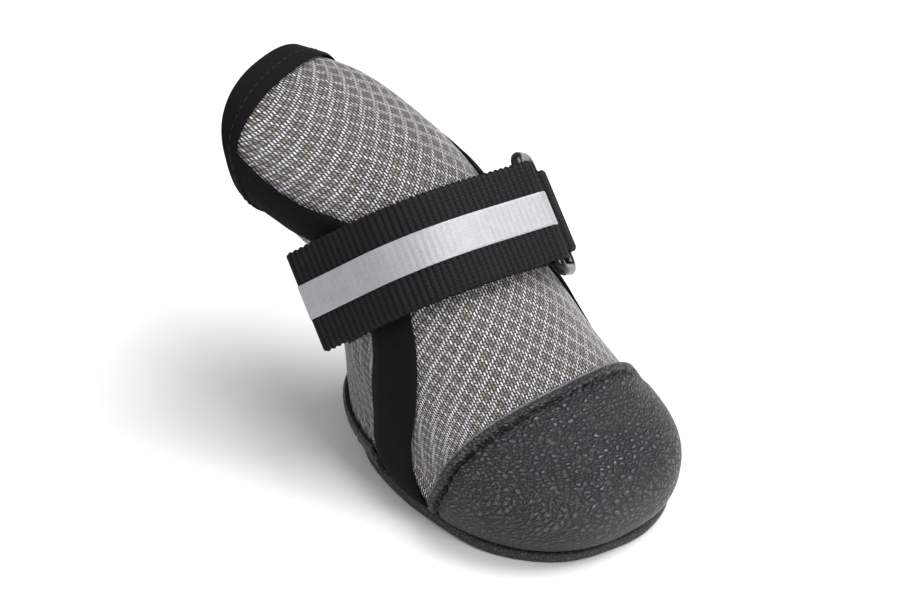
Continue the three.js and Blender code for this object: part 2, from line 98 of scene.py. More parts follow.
def catmull(values: Sequence[float], place: float) -> float:
    """Smooth value of a table's column at a place between its rows.

    Args:
        values: The column, one value for each row.
        place: The row number, with a fraction between two rows.

    Returns:
        The value of the curve through the rows.
    """
    last = len(values) - 1
    i = min(max(int(math.floor(place)), 0), last - 1)
    f = place - i
    a, b, c, d = (values[min(max(k, 0), last)] for k in (i - 1, i, i + 1, i + 2))
    return 0.5 * (2 * b + (c - a) * f + (2 * a - 5 * b + 4 * c - d) * f * f
                  + (3 * b - a - 3 * c + d) * f ** 3)


def runs_from(points: Sequence[Vector], start: int = 0) -> list[float]:
    """Way along a line from one of its points to each point, negative before that one."""
    runs = [0.0] * len(points)
    for i in range(start + 1, len(points)):
        runs[i] = runs[i - 1] + (points[i] - points[i - 1]).length
    for i in range(start - 1, -1, -1):
        runs[i] = runs[i + 1] - (points[i] - points[i + 1]).length
    return runs


@dataclass(frozen=True)
class Ring:
    """One section of the last, from the sole to the collar.

    The front and back points are shares of the foot's length and of the boot's height. The half
    width and the sway are shares of the foot's width. Roundness is the exponent of the outline,
    egg widens its front, and roll tips it sideways in degrees.
    """

    name: str
    front_x: float
    front_z: float
    back_x: float
    back_z: float
    half: float
    roundness: float
    egg: float = 0.0
    sway: float = 0.0
    roll: float = 0.0


@dataclass(frozen=True)
class Fold:
    """A soft ridge or trough in the cloth.

    Attributes:
        ring: Ring of its middle.
        degrees: Angle of its middle from the toe, to the left.
        rings: Half length up the last.
        spread: Half length round the last, in degrees.
        height: How far it stands out, or in where it is negative.
        lean: Rings that it climbs for each degree round the last.
    """

    ring: float
    degrees: float
    rings: float
    spread: float
    height: float
    lean: float = 0.0

    def at(self, ring: float, degrees: float) -> float:
        """Height of the fold at a place on the last."""
        turn = (degrees - self.degrees + 180) % 360 - 180
        rise = ring - self.ring - self.lean * turn
        return self.height * math.exp(-((rise / self.rings) ** 2) - (turn / self.spread) ** 2)


@dataclass
class Last:
    """The form of the boot: every piece of cloth and leather lies on it at some distance."""

    foot_length: float = 80.0
    foot_width: float = 63.0
    boot_height: float = 88.0
    floor: float = 3.5
    instep_ring: int = 5
    collar_back_drop: float = 1.35
    collar_drop_start: float = 60.0
    collar_drop_end: float = 175.0
    collar_binding_rings: float = 0.54
    collar_binding_back: float = 0.17
    rings: tuple[Ring, ...] = (
        Ring("sole", 0.455, 0.04, -0.535, 0.04, 0.46, 2.3, 0.03),
        Ring("bulge", 0.475, 0.10, -0.60, 0.095, 0.487, 2.4, 0.03),
        Ring("toe_mid", 0.46, 0.175, -0.625, 0.155, 0.485, 2.4, 0.05),
        Ring("toe_top", 0.33, 0.25, -0.64, 0.21, 0.468, 2.3, 0.04),
        Ring("vamp", 0.155, 0.345, -0.645, 0.27, 0.44, 2.3, 0.03),
        Ring("instep", 0.0, 0.455, -0.645, 0.34, 0.41, 2.3, 0.02),
        Ring("strap_low", -0.155, 0.56, -0.665, 0.40, 0.38, 2.3, 0.02),
        Ring("strap_mid", -0.275, 0.64, -0.70, 0.44, 0.37, 2.3),
        Ring("strap_top", -0.41, 0.72, -0.75, 0.475, 0.365, 2.3, 0.0, -0.015, 1.5),
        Ring("shaft", -0.60, 0.825, -0.82, 0.535, 0.36, 2.35, 0.0, -0.07, 6.0),
        Ring("collar", -0.80, 0.92, -0.90, 0.605, 0.36, 2.4, 0.0, -0.16, 14.0),
        Ring("top", -0.97, 0.97, -0.945, 0.645, 0.32, 2.4, 0.0, -0.24, 21.0),
    )
    folds: tuple[Fold, ...] = (
        Fold(5.15, 0, 0.55, 60, 0.45),
        Fold(8.75, 0, 0.5, 55, 0.5),
        Fold(6.95, 0, 0.9, 90, -0.35),
        Fold(5.2, -42, 0.35, 16, -0.5, lean=0.012),
        Fold(5.4, 38, 0.35, 18, -0.45, lean=-0.012),
        Fold(9.4, -38, 0.9, 9, -0.4, lean=0.02),
        Fold(9.6, 30, 0.9, 10, -0.35, lean=-0.02),
        Fold(3.2, 120, 0.7, 18, -0.6, lean=0.02),
        Fold(3.2, -118, 0.7, 18, -0.5, lean=-0.02),
        Fold(7.0, 180, 0.6, 45, -0.6),
        Fold(8.4, 180, 0.6, 45, 0.4),
    )
    _sections: dict[float, tuple[float, ...]] = field(default_factory=dict)

    def __post_init__(self) -> None:
        """Prepare the columns of the table and the cloth's flat map."""
        self.top_ring = len(self.rings) - 1
        names = ("front_x", "front_z", "back_x", "back_z", "half", "roundness", "egg", "sway", "roll")
        self._columns = [[getattr(ring, name) for ring in self.rings] for name in names]
        self._map_cloth()

    def _section(self, ring: float) -> tuple[float, ...]:
        """Sizes of one section in millimetres, kept for the next call."""
        key = round(ring, 5)
        found = self._sections.get(key)
        if found is None:
            front_x, front_z, back_x, back_z, half, power, egg, sway, roll = (
                catmull(column, key) for column in self._columns)
            lift = self.floor - self.rings[0].front_z * self.boot_height
            fx, bx = front_x * self.foot_length, back_x * self.foot_length
            fz, bz = front_z * self.boot_height + lift, back_z * self.boot_height + lift
            depth = math.hypot(fx - bx, fz - bz) / 2
            found = ((fx + bx) / 2, (fz + bz) / 2, (fx - bx) / (2 * depth), (fz - bz) / (2 * depth), depth,
                     half * self.foot_width, power, egg, sway * self.foot_width, math.radians(roll))
            self._sections[key] = found
        return found

    def point(self, ring: float, angle: float) -> Vector:
        """Point of the last's face.

        Args:
            ring: Rows up the table of sections.
            angle: Radians from the toe towards the left.
        """
        mid_x, mid_z, along_x, along_z, depth, half, power, egg, sway, roll = self._section(ring)
        c, s = math.cos(angle), math.sin(angle)
        scale = (abs(c) ** power + abs(s) ** power) ** (-1 / power)
        side = half * (1 + egg * c * scale) * s * scale
        reach = c * scale * depth
        lean = side * math.sin(roll)
        return Vector((mid_x + along_x * reach - along_z * lean, sway + side * math.cos(roll),
                       mid_z + along_z * reach + along_x * lean))

    def normal(self, ring: float, angle: float) -> Vector:
        """Outward direction of the last's face, level at the foot."""
        step = 0.02
        up = self.point(min(ring + step, self.top_ring), angle) - self.point(max(ring - step, 0), angle)
        across = self.point(ring, angle + step) - self.point(ring, angle - step)
        normal = across.cross(up).normalized()
        if ring < 1:
            normal.z *= max(ring, 0)
            normal.normalize()
        return normal

    def relief(self, ring: float, angle: float) -> float:
        """Height of the cloth's folds at a place on the last."""
        degrees = math.degrees(angle)
        return sum(fold.at(ring, degrees) for fold in self.folds)

    def offset(self, ring: float, angle: float, distance: float) -> Vector:
        """Point at a distance outside the cloth's face, its folds included."""
        height = distance + self.relief(ring, angle)
        return self.point(ring, angle) + self.normal(ring, angle) * height

    def half_width(self, ring: float) -> float:
        """Half width of one section."""
        return self._section(ring)[5]

    def collar_ring(self, angle: float) -> float:
        """Ring of the collar's edge: high over the front, lower at the back."""
        degrees = abs(math.degrees(math.atan2(math.sin(angle), math.cos(angle))))
        fall = smoothstep(degrees, self.collar_drop_start, self.collar_drop_end)
        return self.top_ring - self.collar_back_drop * fall

    def binding_ring(self, angle: float) -> float:
        """Ring of the lower edge of the collar's binding."""
        share = 1 - self.collar_binding_back * (self.top_ring - self.collar_ring(angle))
        return self.collar_ring(angle) - self.collar_binding_rings * share

    def _map_cloth(self) -> None:
        """Measure the way round and up the last from the middle of the instep, for the cloth's map."""
        self._ring_step, self._turn_step = 0.25, math.radians(5)
        rows = int(self.top_ring / self._ring_step) + 1
        self._half_turns = 36
        turns = [i * self._turn_step for i in range(-self._half_turns, self._half_turns + 1)]
        grid = [[self.point(r * self._ring_step, turn) for turn in turns] for r in range(rows)]
        self._round = [runs_from(line, self._half_turns) for line in grid]
        columns = [runs_from(line, int(self.instep_ring / self._ring_step)) for line in zip(*grid)]
        self._up = list(zip(*columns))

    def cloth(self, ring: float, angle: float) -> tuple[float, float]:
        """Millimetres round and up the cloth at a place on the last.

        Args:
            ring: Rows up the table of sections.
            angle: Radians from the toe, from a half turn right to a half turn left.

        Returns:
            The place on the flat cloth, round first.
        """
        row = clamp(ring / self._ring_step, 0, len(self._round) - 1.001)
        column = clamp(angle / self._turn_step + self._half_turns, 0, 2 * self._half_turns - 0.001)
        r, i = int(row), int(column)
        fr, fi = row - r, column - i

        def read(table: Sequence[Sequence[float]]) -> float:
            """Value of a table between four of its places."""
            low, high = (mixed(line[i], line[i + 1], fi) for line in table[r:r + 2])
            return mixed(low, high, fr)

        return read(self._round), read(self._up)


def linear(code: str) -> tuple[float, float, float, float]:
    """Linear colour of an sRGB hex value such as "c8c8cc"."""
    shares = [int(code[i:i + 2], 16) / 255 for i in (0, 2, 4)]
    return (*(s / 12.92 if s <= 0.04045 else ((s + 0.055) / 1.055) ** 2.4 for s in shares), 1.0)


class NodeTree:
    """A new material and the nodes added to it."""

    def __init__(self, name: str) -> None:
        """Start an empty material with a principled shader at its output."""
        self.material = bpy.data.materials.new(name)
        self.material.use_nodes = True
        self.tree = self.material.node_tree
        self.tree.nodes.clear()
        self.shader = self.add("BsdfPrincipled")
        self.add("OutputMaterial", {"Surface": self.shader})

    def add(self, kind: str, values: dict | None = None) -> bpy.types.Node:
        """Add a node, set its values and link its inputs.

        Args:
            kind: Blender's name of the node type, without the prefix that shader nodes share.
            values: Values by the name of a property, or by the name or number of an input. A socket
                is linked, and so is a node's first output.

        Returns:
            The new node.
        """
        node = self.tree.nodes.new("ShaderNode" + kind)
        self._fill(node, values or {})
        return node

    def _fill(self, node: bpy.types.Node, values: dict) -> None:
        """Set and link the values of a node, as add() describes them."""
        for name, value in values.items():
            source = value.outputs[0] if isinstance(value, bpy.types.Node) else value
            if isinstance(source, bpy.types.NodeSocket):
                self.tree.links.new(source, node.inputs[name])
            elif isinstance(name, str) and hasattr(node, name):
                setattr(node, name, source)
            else:
                node.inputs[name].default_value = source

    def dress(self, values: dict) -> bpy.types.Material:
        """Set and link the shader's own sockets, and return the finished material."""
        self._fill(self.shader, values)
        return self.material


# Rows of soft bricks, each row half a brick on from the last, as knitted and woven threads lie.
WEAVE = {"offset": 0.5, "Scale": 1.0, "Mortar Smooth": 1.0, "Bias": 0.0}


def wave_scale(period: float) -> float:
    """Scale of a wave texture whose bands repeat at a period in the map's own unit."""
    return 2 * math.pi / 20 / period


@dataclass(frozen=True)
class SpacerMesh:
    """Warp-knitted polyester spacer mesh: bright loops along the boot, tied into a diamond lattice.

    The loops' short slanted strokes are painted lighter or darker at random as painted highlight, and the
    lattice's raised ropes are painted lighter as painted highlight. Between the ropes the cloth lies deeper
    and keeps a brownish grey, and the gaps between the loops are painted dark as painted shade.
    """

    loop_length: float = 1.45
    wale: float = 0.72
    loop_round: float = 0.3
    lattice: float = 3.4
    lattice_slope: float = 42.0
    wale_lean: float = 8.0
    wobble: float = 0.55
    relief: float = 0.55
    roughness: float = 0.38
    # The ropes are painted lighter than the hollows as a painted highlight; the gaps between the loops are
    # painted dark as painted shade.
    rope: str = "f5f5f9"
    hollow: str = "968e87"
    gap: str = "211e1d"

    def material(self) -> bpy.types.Material:
        """Build the cloth's material on its flat map."""
        tree = NodeTree("warp_knit_spacer_mesh")
        place = tree.add("UVMap", {"uv_map": CLOTH_MAP})
        noise = tree.add("TexNoise", {"Scale": 0.55, "Detail": 2.0, "Vector": place})
        centred = tree.add("VectorMath", {"operation": "SUBTRACT", 0: noise.outputs["Color"],
                                          1: (0.5, 0.5, 0.5)})
        bent = tree.add("VectorMath", {"operation": "MULTIPLY_ADD", 0: centred, 2: place,
                                       1: (self.wobble, self.wobble, 0.0)})
        turned = tree.add("Mapping", {"Rotation": (0.0, 0.0, math.radians(90 + self.wale_lean)),
                                      "Vector": bent})
        # Painted highlight: each loop is lit to its own level, and the ends between the loops to a mid level.
        loops = tree.add("TexBrick", {
            **WEAVE, "Brick Width": self.loop_length, "Row Height": self.wale, "Mortar Size": self.loop_round,
            "Color1": (0.35, 0.35, 0.35, 1.0), "Color2": (1.0, 1.0, 1.0, 1.0),
            "Mortar": (0.65, 0.65, 0.65, 1.0), "Vector": turned})
        solid = tree.add("Math", {"operation": "SUBTRACT", 0: 1.0, 1: loops.outputs["Fac"]})
        ropes = []
        for slope in (self.lattice_slope, -self.lattice_slope):
            turn = math.radians(slope + self.wale_lean / 2)
            laid = tree.add("Mapping", {"Rotation": (0.0, 0.0, turn), "Vector": bent})
            bands = tree.add("TexWave", {
                "wave_type": "BANDS", "bands_direction": "X", "wave_profile": "SIN", "Distortion": 0.0,
                "Scale": wave_scale(self.lattice), "Vector": laid})
            ropes.append(bands.outputs["Fac"])
        crossed = tree.add("Math", {"operation": "MAXIMUM", 0: ropes[0], 1: ropes[1]})
        rope = tree.add("MapRange", {"interpolation_type": "SMOOTHSTEP", "From Min": 0.55, "From Max": 0.95,
                                     "Value": crossed})
        # Painted highlight: the raised ropes take the rope colour.
        thread = tree.add("Mix", {"data_type": "RGBA", 0: rope, 6: linear(self.hollow), 7: linear(self.rope)})
        shade = tree.add("Mix", {"data_type": "RGBA", "blend_type": "MULTIPLY", 0: 0.45,
                                 6: thread.outputs[2], 7: loops})
        # Painted shade: the edges of each loop take the dark gap colour.
        edge = tree.add("MapRange", {"From Min": 0.12, "From Max": 0.8, "Value": solid})
        colour = tree.add("Mix", {"data_type": "RGBA", 0: edge, 6: linear(self.gap), 7: shade.outputs[2]})
        lift = tree.add("Math", {"operation": "MULTIPLY_ADD", 0: rope, 1: 0.7, 2: 0.5})
        height = tree.add("Math", {"operation": "MULTIPLY", 0: solid, 1: lift})
        bump = tree.add("Bump", {"Strength": 1.0, "Distance": self.relief * MM, "Height": height})
        return tree.dress({"Roughness": self.roughness, "Specular IOR Level": 0.5,
                           "Base Color": colour.outputs[2], "Normal": bump})


@dataclass(frozen=True)
class Leather:
    """Black split leather with a printed pebble grain and a soft finish.

    The pebbles give small broken highlights, their tops painted lighter and their creases darker as painted
    highlight and painted shade, and the hide is smoother where it was stretched over the edge of the last.
    Drawn leather has its pebbles lengthened round the boot, and a painted highlight lightens a thin line
    along its top edge.
    """

    name: str = "pebbled_split_leather"
    # The creases keep the hide's colour and the pebbles' tops take the painted sheen: painted shade and
    # painted highlight.
    hide: str = "070708"
    painted_sheen: str = "48484e"
    pebble: float = 1.05
    warp: float = 1.1
    relief: float = 0.72
    smooth_below: float = 0.0
    smooth_above: float = 0.0
    roughness: float = 0.38
    drawn: float = 0.0
    # Colour of a painted highlight along the top edge, and its width in millimetres.
    edge_highlight: str = ""
    edge_highlight_width: float = 1.0

    def material(self) -> bpy.types.Material:
        """Build the leather's material on object coordinates, or on the flat map where it is drawn."""
        tree = NodeTree(self.name)
        object_place = tree.add("TexCoord").outputs["Object"]
        place = object_place
        if self.drawn:
            flat = tree.add("UVMap", {"uv_map": CLOTH_MAP})
            place = tree.add("VectorMath", {"operation": "MULTIPLY", 0: flat, 1: (MM * self.drawn, MM, MM)})
        noise = tree.add("TexNoise", {"Scale": 760.0, "Detail": 3.0, "Vector": place})
        bent = tree.add("VectorMath", {"operation": "MULTIPLY_ADD", 0: noise.outputs["Color"], 2: place,
                                       1: (self.warp * MM,) * 3})
        cells = tree.add("TexVoronoi", {"feature": "DISTANCE_TO_EDGE", "Scale": 1 / (self.pebble * MM),
                                        "Randomness": 1.0, "Vector": bent})
        mounds = tree.add("MapRange", {"interpolation_type": "SMOOTHERSTEP", "From Min": -0.08,
                                       "From Max": 0.46, "Value": cells})
        fine = tree.add("TexNoise", {"Scale": 2600.0, "Detail": 3.0, "Vector": place})
        broad = tree.add("TexNoise", {"Scale": 110.0, "Detail": 3.0, "Vector": place})
        grain = tree.add("Math", {"operation": "MULTIPLY_ADD", 0: fine, 1: 0.1, 2: mounds})
        strength = tree.add("MapRange", {"From Min": 0.3, "From Max": 0.7, "To Min": 0.55, "To Max": 1.1,
                                         "Value": broad})
        if self.smooth_above > self.smooth_below:
            split = tree.add("SeparateXYZ", {0: object_place})
            rim = tree.add("MapRange", {
                "interpolation_type": "SMOOTHSTEP", "From Min": self.smooth_below * MM,
                "From Max": self.smooth_above * MM, "To Min": 0.1, "To Max": 1.0, "Value": split.outputs[2]})
            strength = tree.add("Math", {"operation": "MULTIPLY", 0: strength, 1: rim})
        height = tree.add("Math", {"operation": "MULTIPLY", 0: grain, 1: strength})
        bump = tree.add("Bump", {"Strength": 1.0, "Distance": self.relief * MM, "Height": height})
        # Painted highlight and shade: the pebbles' tops are painted lighter, the creases darker.
        tone = tree.add("Math", {"operation": "MULTIPLY", 0: mounds, 1: strength})
        colour = tree.add("Mix", {"data_type": "RGBA", 0: tone, 6: linear(self.hide), 7: linear(self.painted_sheen)})
        # Painted highlight: a thin line along the top edge is lightened.
        if self.edge_highlight:
            inwards = tree.add("Attribute", {"attribute_name": EDGE_MAP})
            edge_highlight_share = tree.add("MapRange", {"interpolation_type": "SMOOTHSTEP", "From Min": self.edge_highlight_width,
                                         "From Max": self.edge_highlight_width / 2, "Value": inwards.outputs["Fac"]})
            colour = tree.add("Mix", {"data_type": "RGBA", 0: edge_highlight_share, 6: colour.outputs[2],
                                      7: linear(self.edge_highlight)})
        gloss = tree.add("MapRange", {"To Min": self.roughness + 0.1, "To Max": self.roughness - 0.06,
                                      "Value": mounds})
        return tree.dress({"Specular IOR Level": 0.5, "Base Color": colour.outputs[2], "Roughness": gloss,
                           "Normal": bump})


@dataclass(frozen=True)
class KnitBinding:
    """Black polyester knit over thin foam: matt, with faint wales and a little lint."""

    knit: str = "101012"
    lint: str = "3a3a40"
    wale: float = 0.75
    relief: float = 0.16

    def material(self) -> bpy.types.Material:
        """Build the binding's material on its flat map."""
        tree = NodeTree("black_knit_binding")
        place = tree.add("UVMap", {"uv_map": CLOTH_MAP})
        knit = tree.add("TexBrick", {**WEAVE, "Brick Width": self.wale * 1.3, "Row Height": self.wale * 0.7,
                                     "Mortar Size": 0.12, "Vector": place})
        solid = tree.add("Math", {"operation": "SUBTRACT", 0: 1.0, 1: knit.outputs["Fac"]})
        soft = tree.add("TexNoise", {"Scale": 0.5, "Detail": 4.0, "Vector": place})
        height = tree.add("Math", {"operation": "MULTIPLY_ADD", 0: soft, 1: 1.6, 2: solid})
        bump = tree.add("Bump", {"Strength": 0.8, "Distance": self.relief * MM, "Height": height})
        specks = tree.add("TexNoise", {"Scale": 2.6, "Detail": 6.0, "Roughness": 0.75, "Vector": place})
        lint = tree.add("MapRange", {"From Min": 0.6, "From Max": 0.8, "To Max": 0.5, "Value": specks})
        colour = tree.add("Mix", {"data_type": "RGBA", 0: lint, 6: linear(self.knit), 7: linear(self.lint)})
        return tree.dress({"Roughness": 0.9, "Specular IOR Level": 0.1, "Sheen Weight": 0.02,
                           "Sheen Roughness": 0.5, "Base Color": colour.outputs[2], "Normal": bump})


@dataclass(frozen=True)
class Webbing:
    """Black polyester grosgrain webbing: cords across its width under fine lengthwise yarns, with painted
    highlight on the cords' crowns.
    """

    yarn: str = "060607"
    # The yarn's black, and the lighter colour painted on the cords' crowns as a painted highlight.
    crown: str = "343438"
    yarn_pitch: float = 0.55
    rib: float = 1.6
    relief: float = 0.2

    def material(self) -> bpy.types.Material:
        """Build the webbing's material on its flat map."""
        tree = NodeTree("black_ribbed_webbing")
        place = tree.add("UVMap", {"uv_map": CLOTH_MAP})
        yarns = tree.add("TexBrick", {**WEAVE, "Brick Width": self.rib, "Row Height": self.yarn_pitch,
                                      "Mortar Size": 0.13, "Vector": place})
        solid = tree.add("Math", {"operation": "SUBTRACT", 0: 1.0, 1: yarns.outputs["Fac"]})
        bump = tree.add("Bump", {"Strength": 1.0, "Distance": self.relief * MM, "Height": solid})
        along = tree.add("SeparateXYZ", {0: place})
        phase = tree.add("Math", {"operation": "MULTIPLY", 0: along, 1: math.pi / self.rib})
        swing = tree.add("Math", {"operation": "SINE", 0: phase})
        cord = tree.add("Math", {"operation": "POWER", 0: swing, 1: 2.0})
        # Painted highlight: the cords' crowns take the crown colour, unevenly.
        fuzz = tree.add("TexNoise", {"Scale": 3.0, "Detail": 5.0, "Vector": place})
        painted_sheen = tree.add("Math", {"operation": "MULTIPLY", 0: fuzz, 1: solid})
        level = tree.add("Math", {"operation": "MULTIPLY", 0: painted_sheen, 1: cord})
        colour = tree.add("Mix", {"data_type": "RGBA", 0: level, 6: linear(self.yarn), 7: linear(self.crown)})
        return tree.dress({"Roughness": 0.6, "Specular IOR Level": 0.18, "Base Color": colour.outputs[2],
                           "Normal": bump})


@dataclass(frozen=True)
class ReflectiveTape:
    """Glass-bead reflective tape: pale silver grey, with a fine sparkle of beads."""

    silver: str = "adafb2"
    shade: str = "85878b"
    bead: float = 0.35
    relief: float = 0.06

    def material(self) -> bpy.types.Material:
        """Build the tape's material; the beads are drawn coarser than the real ones so that they show."""
        tree = NodeTree("glass_bead_tape")
        place = tree.add("UVMap", {"uv_map": CLOTH_MAP})
        beads = tree.add("TexVoronoi", {"Scale": 1 / self.bead, "Randomness": 1.0, "Vector": place})
        bump = tree.add("Bump", {"Strength": 0.5, "Distance": self.relief * MM, "Height": beads})
        cloud = tree.add("TexNoise", {"Scale": 0.35, "Detail": 4.0, "Vector": place})
        grain = tree.add("Math", {"operation": "MULTIPLY", 0: beads, 1: cloud})
        colour = tree.add("Mix", {"data_type": "RGBA", 0: grain, 6: linear(self.silver),
                                  7: linear(self.shade)})
        return tree.dress({"Roughness": 0.42, "Metallic": 0.2, "Specular IOR Level": 0.5,
                           "Base Color": colour.outputs[2], "Normal": bump})


@dataclass(frozen=True)
class MouldedPlastic:
    """Black injection-moulded acetal: glossy, with a faint unevenness from the mould."""

    black: str = "0d0d0e"
    relief: float = 0.1

    def material(self) -> bpy.types.Material:
        """Build the plastic's material on object coordinates."""
        tree = NodeTree("moulded_acetal")
        place = tree.add("TexCoord").outputs["Object"]
        wave = tree.add("TexNoise", {"Scale": 260.0, "Detail": 2.0, "Vector": place})
        bump = tree.add("Bump", {"Strength": 0.25, "Distance": self.relief * MM, "Height": wave})
        gloss = tree.add("MapRange", {"To Min": 0.14, "To Max": 0.28, "Value": wave})
        return tree.dress({"Base Color": linear(self.black), "Specular IOR Level": 0.4, "Roughness": gloss,
                           "Normal": bump})


@dataclass(frozen=True)
class Thread:
    """Bonded polyester sewing thread: twisted, slightly glossy."""

    colour: str = "0f0f10"
    twist: float = 0.35
    relief: float = 0.08

    def material(self) -> bpy.types.Material:
        """Build the thread's material on object coordinates."""
        tree = NodeTree("black_thread")
        place = tree.add("TexCoord").outputs["Object"]
        twist = tree.add("TexWave", {"Scale": wave_scale(self.twist * MM), "Distortion": 1.5,
                                     "Vector": place})
        bump = tree.add("Bump", {"Strength": 0.5, "Distance": self.relief * MM,
                                 "Height": twist.outputs["Fac"]})
        return tree.dress({"Base Color": linear(self.colour), "Roughness": 0.55, "Specular IOR Level": 0.25,
                           "Normal": bump})


@dataclass(frozen=True)
class Felt:
    """Charcoal needle felt: matt and slightly cloudy."""

    dark: str = "1a1a1c"
    pale: str = "2e2e31"
    relief: float = 0.3

    def material(self) -> bpy.types.Material:
        """Build the felt's material on object coordinates."""
        tree = NodeTree("needle_felt")
        place = tree.add("TexCoord").outputs["Object"]
        fibres = tree.add("TexNoise", {"Scale": 900.0, "Detail": 6.0, "Roughness": 0.7, "Vector": place})
        bump = tree.add("Bump", {"Strength": 0.7, "Distance": self.relief * MM, "Height": fibres})
        colour = tree.add("Mix", {"data_type": "RGBA", 0: fibres, 6: linear(self.dark), 7: linear(self.pale)})
        return tree.dress({"Roughness": 0.95, "Specular IOR Level": 0.15, "Base Color": colour.outputs[2],
                           "Normal": bump})


Spot = tuple[Vector, tuple[float, float]]
Place = Callable[[float, float], Spot]


def lofted(columns: int, rows: int, place: Place) -> bmesh.types.BMesh:
    """Grid whose points are moved to their places on a form.

    Args:
        columns: Faces along the first share.
        rows: Faces along the second share.
        place: Gives a point and its place on the flat cloth for two shares from 0 to 1.

    Returns:
        The mesh, with the flat cloth's map on its faces.
    """
    bm = bmesh.new()
    layer = bm.loops.layers.uv.new(CLOTH_MAP)
    bmesh.ops.create_grid(bm, x_segments=columns, y_segments=rows, size=0.5)
    flat = {}
    for vert in bm.verts:
        vert.co, flat[vert.index] = place(vert.co.x + 0.5, vert.co.y + 0.5)
    for face in bm.faces:
        for loop in face.loops:
            loop[layer].uv = flat[loop.vert.index]
    return bm


def closed_up(bm: bmesh.types.BMesh) -> bmesh.types.BMesh:
    """Merge a mesh's seam, close its open ends and turn its faces outwards."""
    bmesh.ops.remove_doubles(bm, verts=bm.verts, dist=0.002)
    rims = [edge for edge in bm.edges if edge.is_boundary]
    if rims:
        bmesh.ops.holes_fill(bm, edges=rims, sides=0)
    bmesh.ops.recalc_face_normals(bm, faces=bm.faces)
    return bm


def finished(bm: bmesh.types.BMesh, name: str, material: bpy.types.Material,
             replaced: Sequence[str] = ()) -> bpy.types.Object:
    """Turn a mesh to metres, dress it and put it on the boot's body.

    Args:
        bm: The mesh in millimetres, which is used up.
        name: The piece's name.
        material: Its material.
        replaced: The nodes that it stands for.

    Returns:
        The finished piece.
    """
    bmesh.ops.scale(bm, vec=(MM, MM, MM), verts=bm.verts)
    mesh = bpy.data.meshes.new(name)
    bm.to_mesh(mesh)
    bm.free()
    mesh.materials.append(material)
    mesh.polygons.foreach_set("use_smooth", [True] * len(mesh.polygons))
    piece = bpy.data.objects.new(name, mesh)
    bpy.context.scene.collection.objects.link(piece)
    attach(piece, BODY)
    if replaced:
        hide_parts(*replaced)
    log.info("%s: %d faces", name, len(mesh.polygons))
    return piece


def thickened(piece: bpy.types.Object, thickness: float, edge: float = 0.0) -> None:
    """Give a sheet its wall inwards, with a rounded edge.

    Args:
        piece: The sheet, its faces pointing out.
        thickness: Wall in millimetres.
        edge: Radius of the edge in millimetres.
    """
    wall = piece.modifiers.new("wall", "SOLIDIFY")
    wall.thickness = thickness * MM
    wall.offset = -1.0
    wall.use_even_offset = False
    if edge:
        bevel = piece.modifiers.new("edge", "BEVEL")
        bevel.width = edge * MM
        bevel.segments = 3
        bevel.limit_method = "ANGLE"
        bevel.angle_limit = math.radians(50)


def rounded_section(width: float, thickness: float, across: int,
                    corner: int = 4) -> list[tuple[float, float]]:
    """Cross-section of a flat band with round edges, as loop points (across, height).

    Args:
        width: Width of the band.
        thickness: Its thickness, from height 0 up.
        across: Steps over each flat face.
        corner: Steps round each edge.

    Returns:
        Points round the section, the first one repeated at the end.
    """
    radius = thickness / 2
    flat = width / 2 - radius
    turns = [(radius * math.sin(a), radius * math.cos(a)) for a in steps(0, math.pi, corner)[1:]]
    points = [(x, thickness) for x in steps(-flat, flat, across)]
    points += [(flat + out, radius + up) for out, up in turns]
    points += [(x, 0.0) for x in steps(flat, -flat, across)[1:]]
    points += [(-flat - out, radius - up) for out, up in turns]
    return points


@dataclass
class Stitching:
    """A row of thread stitches sunk a little into what it sews."""

    pitch: float = 2.4
    length: float = 1.7
    radius: float = 0.24
    proud: float = 0.08

    def sew(self, bm: bmesh.types.BMesh, line: Sequence[Vector], outwards: Sequence[Vector]) -> None:
        """Add the stitches along a line to a mesh.

        Args:
            bm: The mesh that holds the stitches.
            line: Closely spaced points of the seam.
            outwards: The direction out of the surface at each point.
        """
        run, nxt = 0.0, self.pitch / 2
        for i in range(1, len(line)):
            step = (line[i] - line[i - 1]).length
            while step > 0 and run + step >= nxt:
                share = (nxt - run) / step
                centre = line[i - 1].lerp(line[i], share)
                out = outwards[i - 1].lerp(outwards[i], share).normalized()
                along = (line[i] - line[i - 1]).normalized()
                side = out.cross(along).normalized()
                turn = Matrix((along, side, along.cross(side))).transposed().to_4x4()
                size = Matrix.Diagonal((self.length / 2, self.radius, self.radius, 1.0))
                place = Matrix.Translation(centre + out * self.proud)
                bmesh.ops.create_uvsphere(bm, u_segments=8, v_segments=6, radius=1.0,
                                          matrix=place @ turn @ size)
                nxt += self.pitch
            run += step


